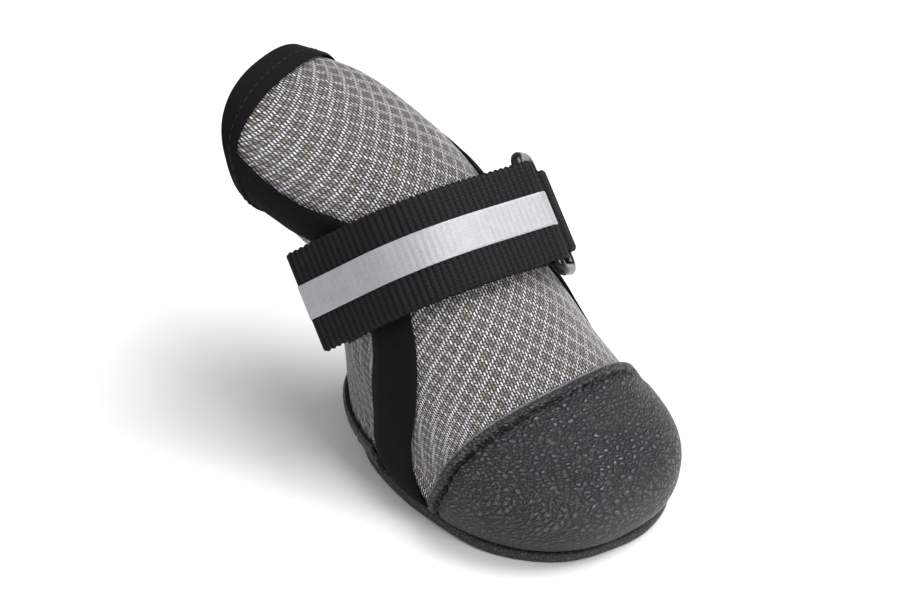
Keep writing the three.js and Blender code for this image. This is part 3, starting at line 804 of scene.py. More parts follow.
@dataclass
class Sole:
    """Leather outsole with a turned edge, and the felt insole above it."""

    last: Last
    thickness: float = 3.2
    lip: float = 1.6
    edge_round: float = 1.25
    wall: float = 1.8
    insole_thickness: float = 1.5
    insole_gap: float = 0.35
    insole_edge_fall: float = 0.5
    insole_edge_cup: float = 0.35
    edge_wave: float = 0.42
    edge_sway: float = 0.25
    rim_share: float = 0.9
    top_inset: float = 0.7
    top_drop: float = 0.25
    top_drop_start: float = 0.12
    toe_sag: float = 0.7
    toe_sag_spread: float = 0.55
    stitch_inset: float = 3.6
    stitch_height: float = 0.28
    around: int = 240
    insole_grid: tuple[int, int] = (120, 40)

    def outline(self, angle: float, distance: float) -> Vector:
        """Point of the foot's outline on the sole, moved outwards."""
        return self.last.point(0, angle) + self.last.normal(0, angle) * distance

    def inner_point(self, angle: float, distance: float, share: float, height: float) -> Vector:
        """Point at a height, a share of the way from the sole's middle to its outline."""
        middle = (self.outline(0, 0) + self.outline(math.pi, 0)) / 2
        point = self.outline(angle, distance) * share + middle * (1 - share)
        point.z = height
        return point

    def _profile(self) -> list[tuple[float, float, float]]:
        """Section of the sole from its middle underneath to its middle on top.

        Returns:
            Rows of share from the middle to the outline, distance outside it, and height.
        """
        r, t = self.edge_round, self.thickness
        inside = self.lip - r
        rows = [(share, inside, 0.0) for share in (0.0, 0.3, 0.6, 0.85, 0.94)]
        for start, level in ((0.0, r), (math.pi / 2, t - r)):
            rows += [(1.0, inside + r * math.sin(a), level - r * math.cos(a))
                     for a in steps(start, start + math.pi / 2, 5)]
        top = inside - self.top_inset
        rows.append((1.0, top, t - self.top_drop_start))
        rows += [(share, top, t - self.top_drop) for share in (0.96, 0.8, 0.5, 0.0)]
        return rows

    def outsole(self, material: bpy.types.Material) -> bpy.types.Object:
        """Build the outsole."""
        rows = self._profile()

        def place(u: float, v: float) -> Spot:
            """Point of the sole's section, turned round its outline."""
            angle = mixed(-math.pi, math.pi, u)
            share, out, height = rows[round(v * (len(rows) - 1))]
            wave = math.sin(angle * 3 + 0.6) * 0.6 + math.sin(angle * 7 + 2.0) * 0.4
            sag = self.toe_sag * math.exp(-(angle / self.toe_sag_spread) ** 2)
            rim = 1.0 if share > self.rim_share else 0.0
            lift = (self.edge_wave * wave - sag) * (height / self.thickness) * rim
            sway = self.edge_sway * (math.sin(angle * 5) + 0.5 * math.sin(angle * 11 + 0.8)) - self.edge_sway
            point = self.inner_point(angle, out + sway, share, height + lift)
            return point, (point.x, point.y)

        bm = closed_up(lofted(self.around, len(rows) - 1, place))
        return finished(bm, "leather_outsole", material, ["outsole"])

    def insole(self, material: bpy.types.Material) -> bpy.types.Object:
        """Build the felt insole, slightly cupped at its edge."""
        inset = -(self.wall + self.insole_gap)

        def place(u: float, v: float) -> Spot:
            """Point of the insole, from its middle underneath to its middle on top."""
            angle = mixed(-math.pi, math.pi, u)
            share = 1 - abs(v - 0.5) * 2
            edge = smoothstep(share, 0.8, 1.0)
            top = self.insole_thickness - self.insole_edge_fall * edge
            level = top if v > 0.5 else self.insole_edge_cup * edge
            point = self.inner_point(angle, inset, share, self.last.floor + level)
            return point, (point.x, point.y)

        bm = closed_up(lofted(*self.insole_grid, place))
        return finished(bm, "felt_insole", material, ["insole"])

    def sole_stitches(self, material: bpy.types.Material) -> bpy.types.Object:
        """Sew the seam that shows round the underside of the sole."""
        bm = bmesh.new()
        line = [self.outline(a, self.lip - self.stitch_inset) for a in steps(-math.pi, math.pi, self.around)]
        for point in line:
            point.z = self.stitch_height
        downwards = [Vector((0, 0, -1))] * len(line)
        Stitching(pitch=3.2, length=2.3, radius=0.26, proud=0.0).sew(bm, line, downwards)
        return finished(bm, "sole_stitches", material)


@dataclass
class Leathers:
    """Toe cap and heel counter, lasted over the mesh.

    The cap's reaches are shares of its side angle, and its rows lie closer together at the seam.
    """

    last: Last
    thickness: float = 1.2
    seat: float = 0.1
    foot_ring: float = 0.06
    cap_top_ring: float = 4.05
    cap_side_angle: float = 81.0
    cap_squareness: float = 2.4
    cap_reach: float = 0.994
    cap_stitch_reach: float = 0.955
    cap_row_ease: float = 1.25
    cap_edge_round: float = 0.35
    lining_gap: float = 0.25
    hem: float = 3.0
    hem_rise: float = 0.5
    hem_start: float = 0.7
    hem_fall: float = 0.9
    edge_drop: float = 0.35
    edge_drop_reach: float = 0.5
    groove: float = 0.75
    groove_reach: float = 0.5
    swell: float = 0.55
    swell_reach: float = 4.0
    pull_reach: float = 1.5
    pull_inset: float = 0.7
    pucker: float = 0.19
    stitch_pitch: float = 2.6
    stitch_rise: float = 0.1
    heel_top_ring: float = 1.9
    heel_corner_ring: float = 1.45
    heel_corner_angle: float = 106.5
    heel_inset_angle: float = 1.0
    heel_stitch_inset_angle: float = 4.0
    heel_edge_round: float = 0.3
    cap_tuck: float = 1.3
    cap_tuck_rings: float = 0.42
    heel_hem_share: float = 0.7
    heel_tuck: float = 0.7
    heel_tuck_rings: float = 0.35
    cap_grid: tuple[int, int] = (300, 120)
    heel_grid: tuple[int, int] = (200, 50)

    def cap_ring(self, angle: float) -> float:
        """Ring of the toe cap's top edge at an angle from the toe."""
        share = abs(angle) / math.radians(self.cap_side_angle)
        power = self.cap_squareness
        return self.cap_top_ring * max(1 - share ** power, 0.0) ** (1 / power)

    def heel_ring(self, angle: float) -> float:
        """Ring of the heel counter's top edge, highest at the back."""
        edge = math.radians(self.heel_corner_angle)
        share = math.pi - abs(math.pi - angle % (2 * math.pi)) - edge
        return mixed(self.heel_corner_ring, self.heel_top_ring, smoothstep(share, 0, math.pi - edge))

    def _seam_tree(self, seam: Sequence[Vector]) -> kdtree.KDTree:
        """Tree of seam points, to measure how far a place lies from the seam."""
        tree = kdtree.KDTree(len(seam))
        for i, point in enumerate(seam):
            tree.insert(point, i)
        tree.balance()
        return tree

    def _hemmed(self, distance: float, run: float) -> float:
        """Height of a folded hem and its stitched groove.

        Args:
            distance: Millimetres from the edge.
            run: Millimetres along the edge, for the puckers between the stitches.
        """
        roll = self.hem_rise * smoothstep(distance, 0.0, self.hem_start)
        roll *= 1 - smoothstep(distance, self.hem - self.hem_fall, self.hem)
        edge = -self.edge_drop * (1 - smoothstep(distance, 0.0, self.edge_drop_reach))
        dip = -self.groove * math.exp(-((distance - self.hem) / self.groove_reach) ** 2)
        swell = self.swell * smoothstep(distance, self.hem, self.hem + self.swell_reach)
        pull = math.exp(-((distance - self.hem - self.pull_inset) / self.pull_reach) ** 2)
        pucker = self.pucker * pull * math.cos(2 * math.pi * run / self.stitch_pitch)
        drift = self.pucker * pull * math.sin(run * 0.9) * math.sin(run * 0.37 + 1.0)
        return roll + edge + dip + swell + pucker + drift

    def _hem_over(self, top: Callable[[float], float],
                  turns: Sequence[float]) -> Callable[[float, float], float]:
        """Height of the hem at a ring and an angle, for a top edge and the angles along it."""
        line = [self.last.point(top(a), a) for a in turns]
        seam, runs = self._seam_tree(line), runs_from(line)

        def height(ring: float, angle: float) -> float:
            """Height at one place on the last."""
            _, nearest, distance = seam.find(self.last.point(ring, angle))
            return self._hemmed(distance, runs[nearest])

        return height

    def toe_cap(self, material: bpy.types.Material) -> bpy.types.Object:
        """Build the toe cap with its folded and stitched top edge."""
        limit = math.radians(self.cap_side_angle) * self.cap_reach
        sides = [math.sin(t * math.pi / 2) * limit for t in steps(-1, 1, 400)]
        hem = self._hem_over(self.cap_ring, sides)

        def place(u: float, v: float) -> Spot:
            """Point of the cap, from the sole up to its seam."""
            angle = math.sin((2 * u - 1) * math.pi / 2) * limit
            top = self.cap_ring(angle)
            ring = mixed(self.foot_ring, top, 1 - (1 - v) ** self.cap_row_ease)
            height = self.seat + self.thickness + hem(ring, angle)
            tuck = self.cap_tuck * (1 - smoothstep(ring, 0.0, self.cap_tuck_rings))
            return self.last.offset(ring, angle, height - tuck), self.last.cloth(ring, angle)

        bm = lofted(*self.cap_grid, place)
        height = self.seat + self.thickness
        edge = self._seam_tree([self.last.offset(self.cap_ring(a), a, height) for a in sides])
        layer = bm.verts.layers.float.new(EDGE_MAP)
        for vert in bm.verts:
            vert[layer] = edge.find(vert.co)[2]
        piece = finished(bm, "toe_cap_leather", material, ["toe_cap"])
        thickened(piece, self.thickness - self.lining_gap, self.cap_edge_round)
        return piece

    def heel_counter(self, material: bpy.types.Material) -> bpy.types.Object:
        """Build the heel counter with its hemmed top edge."""
        low = math.radians(self.heel_corner_angle + self.heel_inset_angle)
        hem = self._hem_over(self.heel_ring, steps(low, 2 * math.pi - low, 300))

        def place(u: float, v: float) -> Spot:
            """Point of the counter, from the sole up to its seam."""
            angle = mixed(low, 2 * math.pi - low, u)
            ring = mixed(self.foot_ring, self.heel_ring(angle), v)
            height = self.seat + self.thickness + hem(ring, angle) * self.heel_hem_share
            tuck = self.heel_tuck * (1 - smoothstep(ring, 0.0, self.heel_tuck_rings))
            turn = math.atan2(math.sin(angle), math.cos(angle))
            return self.last.offset(ring, angle, height - tuck), self.last.cloth(ring, turn)

        bm = lofted(*self.heel_grid, place)
        piece = finished(bm, "heel_counter_leather", material, ["heel_counter"])
        thickened(piece, self.thickness - self.lining_gap, self.heel_edge_round)
        return piece

    def stitches(self, material: bpy.types.Material) -> bpy.types.Object:
        """Sew the seams in the grooves of the toe cap and the heel counter."""
        bm = bmesh.new()
        height = self.seat + self.thickness - self.groove + self.stitch_rise
        limit = math.radians(self.cap_side_angle) * self.cap_stitch_reach
        front = [math.sin(t * math.pi / 2) * limit for t in steps(-1, 1, 260)]
        corner = math.radians(self.heel_corner_angle + self.heel_stitch_inset_angle)
        back = steps(corner, 2 * math.pi - corner, 200)
        for edge in ([(a, self.cap_ring(a)) for a in front], [(a, self.heel_ring(a)) for a in back]):
            points = [self.last.point(ring, angle) for angle, ring in edge]
            line, outs = [], []
            for i, (angle, ring) in enumerate(edge):
                before, after = points[max(i - 1, 0)], points[min(i + 1, len(points) - 1)]
                normal = self.last.normal(ring, angle)
                inwards = normal.cross(after - before).normalized()
                if inwards.z > 0:
                    inwards.negate()
                proud = height + self.last.relief(ring, angle)
                line.append(points[i] + inwards * self.hem + normal * proud)
                outs.append(normal)
            Stitching(pitch=self.stitch_pitch, length=1.9, radius=0.26, proud=0.02).sew(bm, line, outs)
        return finished(bm, "leather_stitches", material)


@dataclass
class Sock:
    """Mesh upper with its knitted bindings and the webbing up its back."""

    last: Last
    leathers: Leathers
    wall: float = 1.8
    binding: float = 1.0
    seat: float = 0.1
    foot_ring: float = 0.06
    binding_tuck_rings: float = 0.12
    binding_pillow: float = 0.35
    fold_rise: float = 1.5
    fold_share: float = 0.2
    collar_swell: float = 0.12
    collar_edge_thinning: float = 0.45
    collar_edge_share: float = 0.12
    collar_cloth: float = 22.0
    collar_stitch_share: float = 0.42
    back_strip_width: float = 25.0
    back_strip_bend: float = 0.8
    back_strip_laps: tuple[float, float] = (0.02, 0.1)
    webbing: float = 1.3
    rib: float = 1.6
    rib_height: float = 0.22
    upper_grid: tuple[int, int] = (220, 110)
    collar_grid: tuple[int, int] = (260, 70)
    binding_edges: tuple[tuple[float, float], ...] = (
        (84.5, 106), (84.5, 106), (86, 107), (79, 102), (67, 95), (57, 86),
        (49, 80), (45, 80), (50, 92), (72, 118), (74, 122), (74, 122))

    def upper(self, material: bpy.types.Material) -> bpy.types.Object:
        """Build the mesh wall, open at the collar and underneath."""
        def place(u: float, v: float) -> Spot:
            """Point of the wall, from the sole up to the collar."""
            angle = mixed(-math.pi, math.pi, u)
            ring = mixed(0.0, self.last.collar_ring(angle), v)
            return self.last.offset(ring, angle, 0.0), self.last.cloth(ring, angle)

        bm = lofted(*self.upper_grid, place)
        bmesh.ops.remove_doubles(bm, verts=bm.verts, dist=0.002)
        piece = finished(bm, "mesh_upper", material, ["upper"])
        thickened(piece, self.wall)
        return piece

    def side_binding(self, side: Side, material: bpy.types.Material) -> bpy.types.Object:
        """Build one side's binding, from the collar to the sole."""
        fronts = [edge[0] for edge in self.binding_edges]
        backs = [edge[1] for edge in self.binding_edges]
        section = rounded_section(1.0, 1.0, 24, 5)

        def place(u: float, v: float) -> Spot:
            """Point of the binding, from the sole up to the collar."""
            across, height = section[round(v * (len(section) - 1))]
            share = across + 0.5
            top_angle = math.radians(mixed(fronts[-1], backs[-1], share))
            top = self.last.binding_ring(top_angle) + self.binding_tuck_rings
            ring = mixed(self.foot_ring, top, u)
            angle = side.value * math.radians(mixed(catmull(fronts, ring), catmull(backs, ring), share))
            pillow = 1 - self.binding_pillow * (2 * share - 1) ** 6
            thick = self.seat + height * self.binding * pillow
            return self.last.offset(ring, angle, thick), self.last.cloth(ring, angle)

        bm = closed_up(lofted(200, len(section) - 1, place))
        name = f"side_binding_{side.name.lower()}_knit"
        return finished(bm, name, material, [f"side_binding_{side.name.lower()}"])

    def collar_binding(self, material: bpy.types.Material) -> bpy.types.Object:
        """Build the folded binding over the collar's edge."""
        reach = self.wall + self.seat
        outer = self.seat + self.binding + self.collar_swell
        inner = -(reach + self.binding)
        middle = (outer + inner) / 2
        arc = (outer - inner) / 2
        side = (1 - self.fold_share) / 2

        def place(u: float, v: float) -> Spot:
            """Point of the binding, up its outside, over the edge and down its inside."""
            angle = mixed(-math.pi, math.pi, u)
            top, low = self.last.collar_ring(angle), self.last.binding_ring(angle)
            rise = (self.last.point(top, angle) - self.last.point(top - 0.1, angle)).normalized()
            if side <= v < 1 - side:
                turn = (v - side) / self.fold_share * math.pi
                point = self.last.offset(top, angle, middle + arc * math.cos(turn))
                point += rise * (self.fold_rise * math.sin(turn))
            else:
                share = min(v, 1 - v) / side
                root, face = (self.seat, outer) if v < 0.5 else (-reach, inner)
                thin = 1 - smoothstep(share, 0.0, self.collar_edge_share)
                edge = 1 - self.collar_edge_thinning * thin
                point = self.last.offset(mixed(low, top, share), angle, mixed(root, face, edge))
            across, up = self.last.cloth(top, angle)
            return point, (across, up + v * self.collar_cloth)

        bm = lofted(*self.collar_grid, place)
        bmesh.ops.remove_doubles(bm, verts=bm.verts, dist=0.002)
        return finished(bm, "collar_binding_knit", material, ["collar_binding"])

    def back_strip(self, material: bpy.types.Material) -> bpy.types.Object:
        """Build the ribbed webbing up the back."""
        section = rounded_section(1.0, 1.0, 16, 4)
        low_lap, high_lap = self.back_strip_laps

        def place(u: float, v: float) -> Spot:
            """Point of the webbing, from the counter up to the collar."""
            across, height = section[round(v * (len(section) - 1))]
            bend = across * self.back_strip_width * self.back_strip_bend
            low_angle = math.pi + bend / self.last.half_width(self.leathers.heel_top_ring)
            low = self.leathers.heel_ring(low_angle) + low_lap
            ring = mixed(low, self.last.binding_ring(math.pi) + high_lap, u)
            angle = math.pi + bend / self.last.half_width(ring)
            turn = math.atan2(math.sin(angle), math.cos(angle))
            up = self.last.cloth(ring, math.pi)[1]
            ribs = self.rib_height * abs(math.sin(math.pi * up / self.rib)) if height > 0.5 else 0.0
            point = self.last.offset(ring, angle, self.seat + height * self.webbing + ribs)
            return point, (up, across * self.back_strip_width)

        bm = closed_up(lofted(260, len(section) - 1, place))
        return finished(bm, "back_strip_webbing", material, ["back_strip"])

    def stitches(self, material: bpy.types.Material) -> bpy.types.Object:
        """Sew the collar binding's seam."""
        bm = bmesh.new()
        line, outs = [], []
        for angle in steps(-math.pi, math.pi, 400):
            low, top = self.last.binding_ring(angle), self.last.collar_ring(angle)
            ring = mixed(low, top, self.collar_stitch_share)
            line.append(self.last.offset(ring, angle, self.seat + self.binding + 0.1))
            outs.append(self.last.normal(ring, angle))
        Stitching(pitch=2.5, length=1.9, radius=0.2, proud=0.02).sew(bm, line, outs)
        return finished(bm, "collar_stitches", material)


def heading(angle: float) -> Vector:
    """Direction in the strap's flat frame: out of the instep at 0, to the left at a quarter turn."""
    return Vector((math.sin(angle), math.cos(angle)))


@dataclass
class StrapSet:
    """Strap, reflective tape, ring and keeper, drawn in the flat frame of the strap's bend.

    A flat point is a vector of millimetres to the left and out of the instep.
    """

    last: Last
    width: float = 25.0
    thickness: float = 1.3
    stripe_width: float = 8.6
    stripe_thickness: float = 0.4
    stripe_lift: float = 0.08
    stripe_ribs: float = 0.06
    gap: float = 0.3
    under: float = 1.3
    ring_on_last: float = 6.95
    rise_degrees: float = 45.0
    yaw: float = -8.0
    wrap_right: float = 62.0
    free_end: float = 17.0
    ring_angle: float = 28.0
    anchor_angle: float = 84.0
    anchor_length: float = 3.0
    rod: float = 3.0
    ring_depth: float = 10.0
    ring_corner: float = 3.0
    ring_overhang: float = 3.6
    keeper_width: float = 21.0
    keeper_angle: float = 94.0
    keeper_length: float = 1.0
    keeper_lap: float = 12.0
    keeper_pinch: float = 50.0
    keeper_step_back: float = 7.0
    rib: float = 1.6
    rib_height: float = 0.22
    path_step: float = 0.27
    path_softenings: int = 6
    look_step: float = 2.5
    turn_steps: int = 16
    outer_turn_steps: int = 6

    def __post_init__(self) -> None:
        """Set the flat frame and measure what the strap covers."""
        rise = math.radians(self.rise_degrees)
        turn = Matrix.Rotation(math.radians(self.yaw), 3, "Z")
        self.up = turn @ Vector((-math.cos(rise), 0, math.sin(rise)))
        self.left = (Vector((0, 1, 0)) - self.up * self.up.y).normalized()
        self.out = self.left.cross(self.up).normalized()
        self.centre = self.last.point(self.ring_on_last, 0)
        self.covered = []
        for ring in steps(0, self.last.top_ring, 80):
            for degrees in range(-180, 180, 5):
                angle = math.radians(degrees)
                point = self.last.point(ring, angle) + self.last.normal(ring, angle) * self.under
                flat = point - self.centre
                if abs(flat.dot(self.up)) <= self.width / 2 + self.gap:
                    self.covered.append(Vector((flat.dot(self.left), flat.dot(self.out))))
        half = self.thickness / 2
        self.lower = self.gap + half
        self.upper = self.lower + self.thickness + self.gap
        self.fold_radius = self.rod / 2 + self.gap + half
        self.near_bar, self.far_bar, self.far_angle = self._seat_ring()
        self.leaves = self._crossing(
            lambda a: self.near_bar.dot(heading(a)) + self.fold_radius - self.girth(a) - self.upper,
            math.radians(-self.wrap_right), math.radians(self.ring_angle))

    def solid(self, flat: Vector, across: float) -> Vector:
        """Point of the boot for a point of the flat frame."""
        return self.centre + self.left * flat.x + self.out * flat.y + self.up * across

    def girth(self, angle: float) -> float:
        """Reach of the covered boot in a direction."""
        way = heading(angle)
        return max(point.dot(way) for point in self.covered)

    def _crossing(self, measure: Callable[[float], float], low: float, high: float) -> float:
        """Place between two values where a rising measure passes nought."""
        for _ in range(30):
            middle = (low + high) / 2
            if measure(middle) < 0:
                low = middle
            else:
                high = middle
        return (low + high) / 2

    def _seat_ring(self) -> tuple[Vector, Vector, float]:
        """Seat the ring's two bars on the strap's under layer and on the keeper.

        Returns:
            The near bar, the far bar and the far bar's angle.
        """
        way = heading(math.radians(self.ring_angle))
        standoff = self.lower + self.fold_radius
        near = max(self.covered, key=way.dot) + way * standoff
        looks = [(a, heading(a), self.girth(a)) for a in steps(-math.pi / 2, math.pi, 180)]

        def far_at(turn: float) -> Vector:
            """Far bar, at a turn about the near one."""
            return near + Vector((math.cos(turn), -math.sin(turn))) * self.ring_depth

        def clear(point: Vector) -> tuple[float, float]:
            """Clearance of a bar from the boot, and the angle that it is seen from."""
            return max((point.dot(look) - reach, a) for a, look, reach in looks)

        turn = self._crossing(lambda t: standoff - clear(far_at(t))[0], 0, math.pi / 2)
        return near, far_at(turn), clear(far_at(turn))[1]

    def tight(self, start: float, end: float, distance: float) -> list[Vector]:
        """Tight path over the covered boot, as corners of tangent lines.

        Args:
            start: First direction in degrees from the middle of the instep.
            end: Last direction in degrees.
            distance: How far outside the covered boot the path runs.

        Returns:
            The path's points.
        """
        count = max(round(abs(end - start) / self.look_step), 2)
        lines = [(math.sin(a), math.cos(a), self.girth(a) + distance)
                 for a in steps(math.radians(start), math.radians(end), count)]
        path = []
        for (s0, c0, r0), (s1, c1, r1) in zip(lines, lines[1:]):
            cross = s0 * c1 - c0 * s1
            path.append(Vector((r0 * c1 - r1 * c0, r1 * s0 - r0 * s1)) / cross)
        return path

    def about(self, bar: Vector, start: float, end: float) -> list[Vector]:
        """Round turn of webbing about a bar, between two directions."""
        turns = steps(start, end, self.turn_steps)
        return [bar + Vector((math.cos(a), math.sin(a))) * self.fold_radius for a in turns]

    def beyond(self, a: Vector, b: Vector, length: float) -> Vector:
        """Point past the second of two points, on their line."""
        return b + (b - a).normalized() * length

    def evened(self, path: Sequence[Vector]) -> list[Vector]:
        """Path resampled at even steps, its corners softened."""
        runs = runs_from(path)
        count = max(int(runs[-1] / self.path_step), 2)
        points, i = [], 0
        for want in steps(0, runs[-1], count):
            while i < len(path) - 2 and runs[i + 1] < want:
                i += 1
            share = (want - runs[i]) / max(runs[i + 1] - runs[i], 1e-6)
            points.append(path[i].lerp(path[i + 1], share))
        for _ in range(self.path_softenings):
            between = [(a + b * 2 + c) / 4 for a, b, c in zip(points, points[1:], points[2:])]
            points = [points[0], *between, points[-1]]
        return points

    def strap_path(self) -> tuple[list[Vector], list[Vector]]:
        """Path of the strap from its sewn end, round the ring and back to its free end.

        Returns:
            The path of the inner layer and its fold, and the path of the outer layer.
        """
        under = self.tight(-self.anchor_angle, self.ring_angle, self.lower)
        over = self.tight(-self.wrap_right, math.degrees(self.leaves), self.upper)
        near = math.radians(self.ring_angle)
        fold = self.about(self.near_bar, -math.pi / 2 - near, math.pi / 2 - self.leaves)
        start = self.beyond(under[1], under[0], self.anchor_length)
        split = len(fold) - self.outer_turn_steps
        inner = [start, *under, *fold[:split]]
        outer = [*fold[split:], *reversed(over), self.beyond(over[1], over[0], self.free_end)]
        return inner, outer

    def band(self, path: Sequence[Vector], width: float, thickness: float, ribs: float,
             shift: float = 0.0) -> bmesh.types.BMesh:
        """Webbing of a width and thickness along a path.

        Args:
            path: Even points of its middle.
            width: Its width.
            thickness: Its thickness.
            ribs: Height of the cords across it, on both faces.
            shift: How far the band lies to the right of the path.

        Returns:
            The closed mesh.
        """
        section = rounded_section(width, thickness, 22, 5)
        step = (path[1] - path[0]).length
        normals = []
        for i in range(len(path)):
            along = path[min(i + 1, len(path) - 1)] - path[max(i - 1, 0)]
            normals.append(Vector((along.y, -along.x)).normalized())

        def place(u: float, v: float) -> Spot:
            """Point of the webbing's section, at a step along its path."""
            i = round(u * (len(path) - 1))
            across, height = section[round(v * (len(section) - 1))]
            run = i * step
            crown = ribs * (abs(math.sin(math.pi * run / self.rib)) - 0.5)
            face = (height - thickness / 2) * (1 + 2 * crown / thickness) + shift
            edge = across * (1 + ribs * 0.07 * math.cos(2 * math.pi * run / self.rib))
            return self.solid(path[i] + normals[i] * face, edge), (run, across)

        return closed_up(lofted(len(path) - 1, len(section) - 1, place))

    def strap(self, material: bpy.types.Material) -> bpy.types.Object:
        """Build the strap."""
        inner, outer = self.strap_path()
        path = self.evened([*inner, *outer])
        bm = self.band(path, self.width, self.thickness, self.rib_height)
        return finished(bm, "strap_webbing", material, ["strap"])

    def stripe(self, material: bpy.types.Material) -> bpy.types.Object:
        """Build the reflective tape along the strap's outer layer."""
        outer = self.strap_path()[1]
        path = self.evened(outer)
        shift = self.thickness / 2 + self.stripe_thickness / 2 + self.stripe_lift
        bm = self.band(path, self.stripe_width, self.stripe_thickness, self.stripe_ribs, shift)
        return finished(bm, "reflective_tape", material, ["reflective_stripe"])

    def keeper(self, material: bpy.types.Material) -> bpy.types.Object:
        """Build the webbing loop that holds the ring's far bar."""
        far = math.degrees(self.far_angle)
        lower = self.tight(far, self.keeper_angle, self.lower)
        last_look = self.keeper_angle - self.keeper_step_back
        upper = self.tight(far + self.keeper_lap, last_look, self.upper)
        end = self.beyond(lower[-2], lower[-1], self.keeper_length)
        over = -1.5 * math.pi - self.far_angle - math.radians(self.keeper_pinch)
        loop = self.about(self.far_bar, -math.pi / 2 - self.far_angle, over)
        path = self.evened([end, *reversed(lower), *loop, *upper])
        bm = self.band(path, self.keeper_width, self.thickness, self.rib_height)
        return finished(bm, "keeper_webbing", material, ["keeper"])

    def ring(self, material: bpy.types.Material) -> bpy.types.Object:
        """Build the moulded ring, a round rod along a rectangle with rounded corners."""
        half = self.width / 2 + self.ring_overhang - self.rod / 2
        corners = [self.solid(self.near_bar, -half), self.solid(self.near_bar, half),
                   self.solid(self.far_bar, half), self.solid(self.far_bar, -half)]
        path = []
        for i, corner in enumerate(corners):
            before, after = corners[i - 1], corners[(i + 1) % 4]
            enter = corner + (before - corner).normalized() * self.ring_corner
            leave = corner + (after - corner).normalized() * self.ring_corner
            for t in steps(0, 1, 8):
                path.append(enter.lerp(corner, t).lerp(corner.lerp(leave, t), t))
            following = corners[(i + 1) % 4] + (corner - corners[(i + 1) % 4]).normalized() * self.ring_corner
            path += [leave.lerp(following, t) for t in steps(0, 1, 6)[1:-1]]
        count = len(path)
        across = (corners[1] - corners[0]).cross(corners[2] - corners[1]).normalized()

        def place(u: float, v: float) -> Spot:
            """Point of the rod's round section, at a step along its path."""
            i = round(u * count) % count
            along = (path[(i + 1) % count] - path[i - 1]).normalized()
            side = along.cross(across).normalized()
            turn = 2 * math.pi * v
            point = path[i] + (side * math.cos(turn) + across * math.sin(turn)) * self.rod / 2
            return point, (u, v)

        bm = lofted(count, 24, place)
        bmesh.ops.remove_doubles(bm, verts=bm.verts, dist=0.002)
        bmesh.ops.recalc_face_normals(bm, faces=bm.faces)
        return finished(bm, "moulded_ring", material, ["ring"])


@dataclass(frozen=True)
class Lamp:
    """One square soft light.

    Attributes:
        name: The light's name.
        azimuth: Degrees round the boot, as the camera's.
        elevation: Degrees above the floor.
        distance: Metres from the boot.
        size: Side of its square in metres.
        power: Watts.
    """

    name: str
    azimuth: float
    elevation: float
    distance: float
    size: float
    power: float


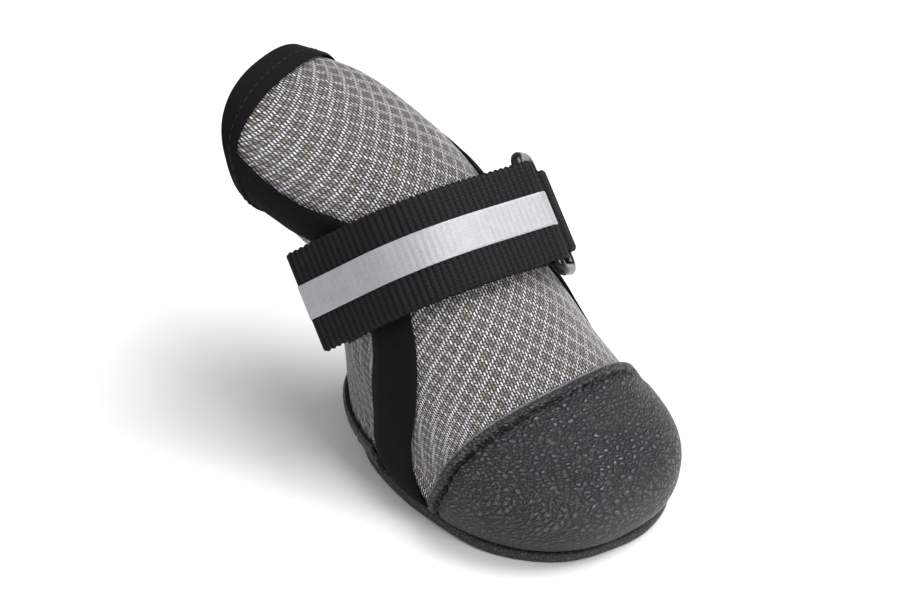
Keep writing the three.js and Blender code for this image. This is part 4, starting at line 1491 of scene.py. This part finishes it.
@dataclass
class Studio:
    """Pale floor, soft light and the camera at the photograph's angle."""

    azimuth: float = 48.0
    elevation: float = 35.0
    distance: float = 650.0
    pivot: Vector = field(default_factory=lambda: Vector((0.0, 0.0, 30.0)))
    aim: Vector = field(default_factory=lambda: Vector((-18.5, -7.0, 43.0)))
    lens: float = 110.0
    floor_colour: str = "fcfcfc"
    sky: float = 0.38
    lamps: tuple[Lamp, ...] = (
        Lamp("key", 158, 62, 1.3, 0.9, 17.5),
        Lamp("fill", -20, 45, 1.2, 1.2, 1.8),
        Lamp("front", 92, 34, 0.9, 0.3, 3.4),
    )

    def _back(self, azimuth: float, elevation: float) -> Vector:
        """Direction from the boot towards a place round it."""
        a, e = math.radians(azimuth), math.radians(elevation)
        return Vector((math.sin(a) * math.cos(e), -math.cos(a) * math.cos(e), math.sin(e)))

    def camera(self) -> None:
        """Place the camera and make it the scene's own."""
        data = bpy.data.cameras.new("camera")
        data.lens = self.lens
        data.clip_start = 0.01
        camera = bpy.data.objects.new("camera", data)
        bpy.context.scene.collection.objects.link(camera)
        place = self.pivot + self._back(self.azimuth, self.elevation) * self.distance
        camera.location = place * MM
        camera.rotation_euler = (self.aim - place).to_track_quat("-Z", "Y").to_euler()
        bpy.context.scene.camera = camera

    def light(self, lamp: Lamp) -> None:
        """Hang one soft light, turned to the boot."""
        data = bpy.data.lights.new(lamp.name, "AREA")
        data.size = lamp.size
        data.energy = lamp.power
        light = bpy.data.objects.new(lamp.name, data)
        bpy.context.scene.collection.objects.link(light)
        place = self._back(lamp.azimuth, lamp.elevation) * lamp.distance
        light.location = place
        light.rotation_euler = (-place).to_track_quat("-Z", "Y").to_euler()

    def floor(self) -> None:
        """Lay the pale floor."""
        bm = bmesh.new()
        bmesh.ops.create_grid(bm, x_segments=1, y_segments=1, size=6.0)
        mesh = bpy.data.meshes.new("floor")
        bm.to_mesh(mesh)
        bm.free()
        tree = NodeTree("pale_paper_floor")
        paper = {"Base Color": linear(self.floor_colour), "Roughness": 0.8, "Specular IOR Level": 0.2}
        mesh.materials.append(tree.dress(paper))
        floor = bpy.data.objects.new("floor", mesh)
        bpy.context.scene.collection.objects.link(floor)

    def build(self) -> None:
        """Set up the floor, the lights, the sky and the camera."""
        self.floor()
        for lamp in self.lamps:
            self.light(lamp)
        world = bpy.data.worlds.new("studio")
        world.use_nodes = True
        background = world.node_tree.nodes["Background"]
        background.inputs["Color"].default_value = linear("ffffff")
        background.inputs["Strength"].default_value = self.sky
        bpy.context.scene.world = world
        bpy.context.scene.view_settings.view_transform = "Standard"
        self.camera()


def main() -> None:
    """Build the boot piece by piece and set up the studio round it."""
    logging.basicConfig(level=logging.INFO, format="%(message)s")
    last = Last()
    cloth = SpacerMesh().material()
    # The toe cap's leather carries a painted highlight along its top edge.
    pebbled = Leather(smooth_below=5.0, smooth_above=10.5, drawn=0.62, edge_highlight="7c7c80")
    smooth = Leather("smooth_split_leather", hide="111113", pebble=0.8, relief=0.08, roughness=0.5)
    turned = Leather("sole_split_leather", hide="111112", pebble=0.9, relief=0.1, roughness=0.55)
    knit = KnitBinding().material()
    ribbed = Webbing().material()
    thread = Thread().material()

    sole = Sole(last)
    sole.outsole(turned.material())
    sole.insole(Felt().material())
    sole.sole_stitches(thread)

    leathers = Leathers(last)
    sock = Sock(last, leathers)
    sock.upper(cloth)
    for side in Side:
        sock.side_binding(side, knit)
    sock.collar_binding(knit)
    sock.back_strip(ribbed)
    sock.stitches(thread)

    leathers.toe_cap(pebbled.material())
    leathers.heel_counter(smooth.material())
    leathers.stitches(thread)

    strap = StrapSet(last)
    strap.strap(ribbed)
    strap.stripe(ReflectiveTape().material())
    strap.keeper(ribbed)
    strap.ring(MouldedPlastic().material())

    Studio().build()


if __name__ == "__main__":
    main()
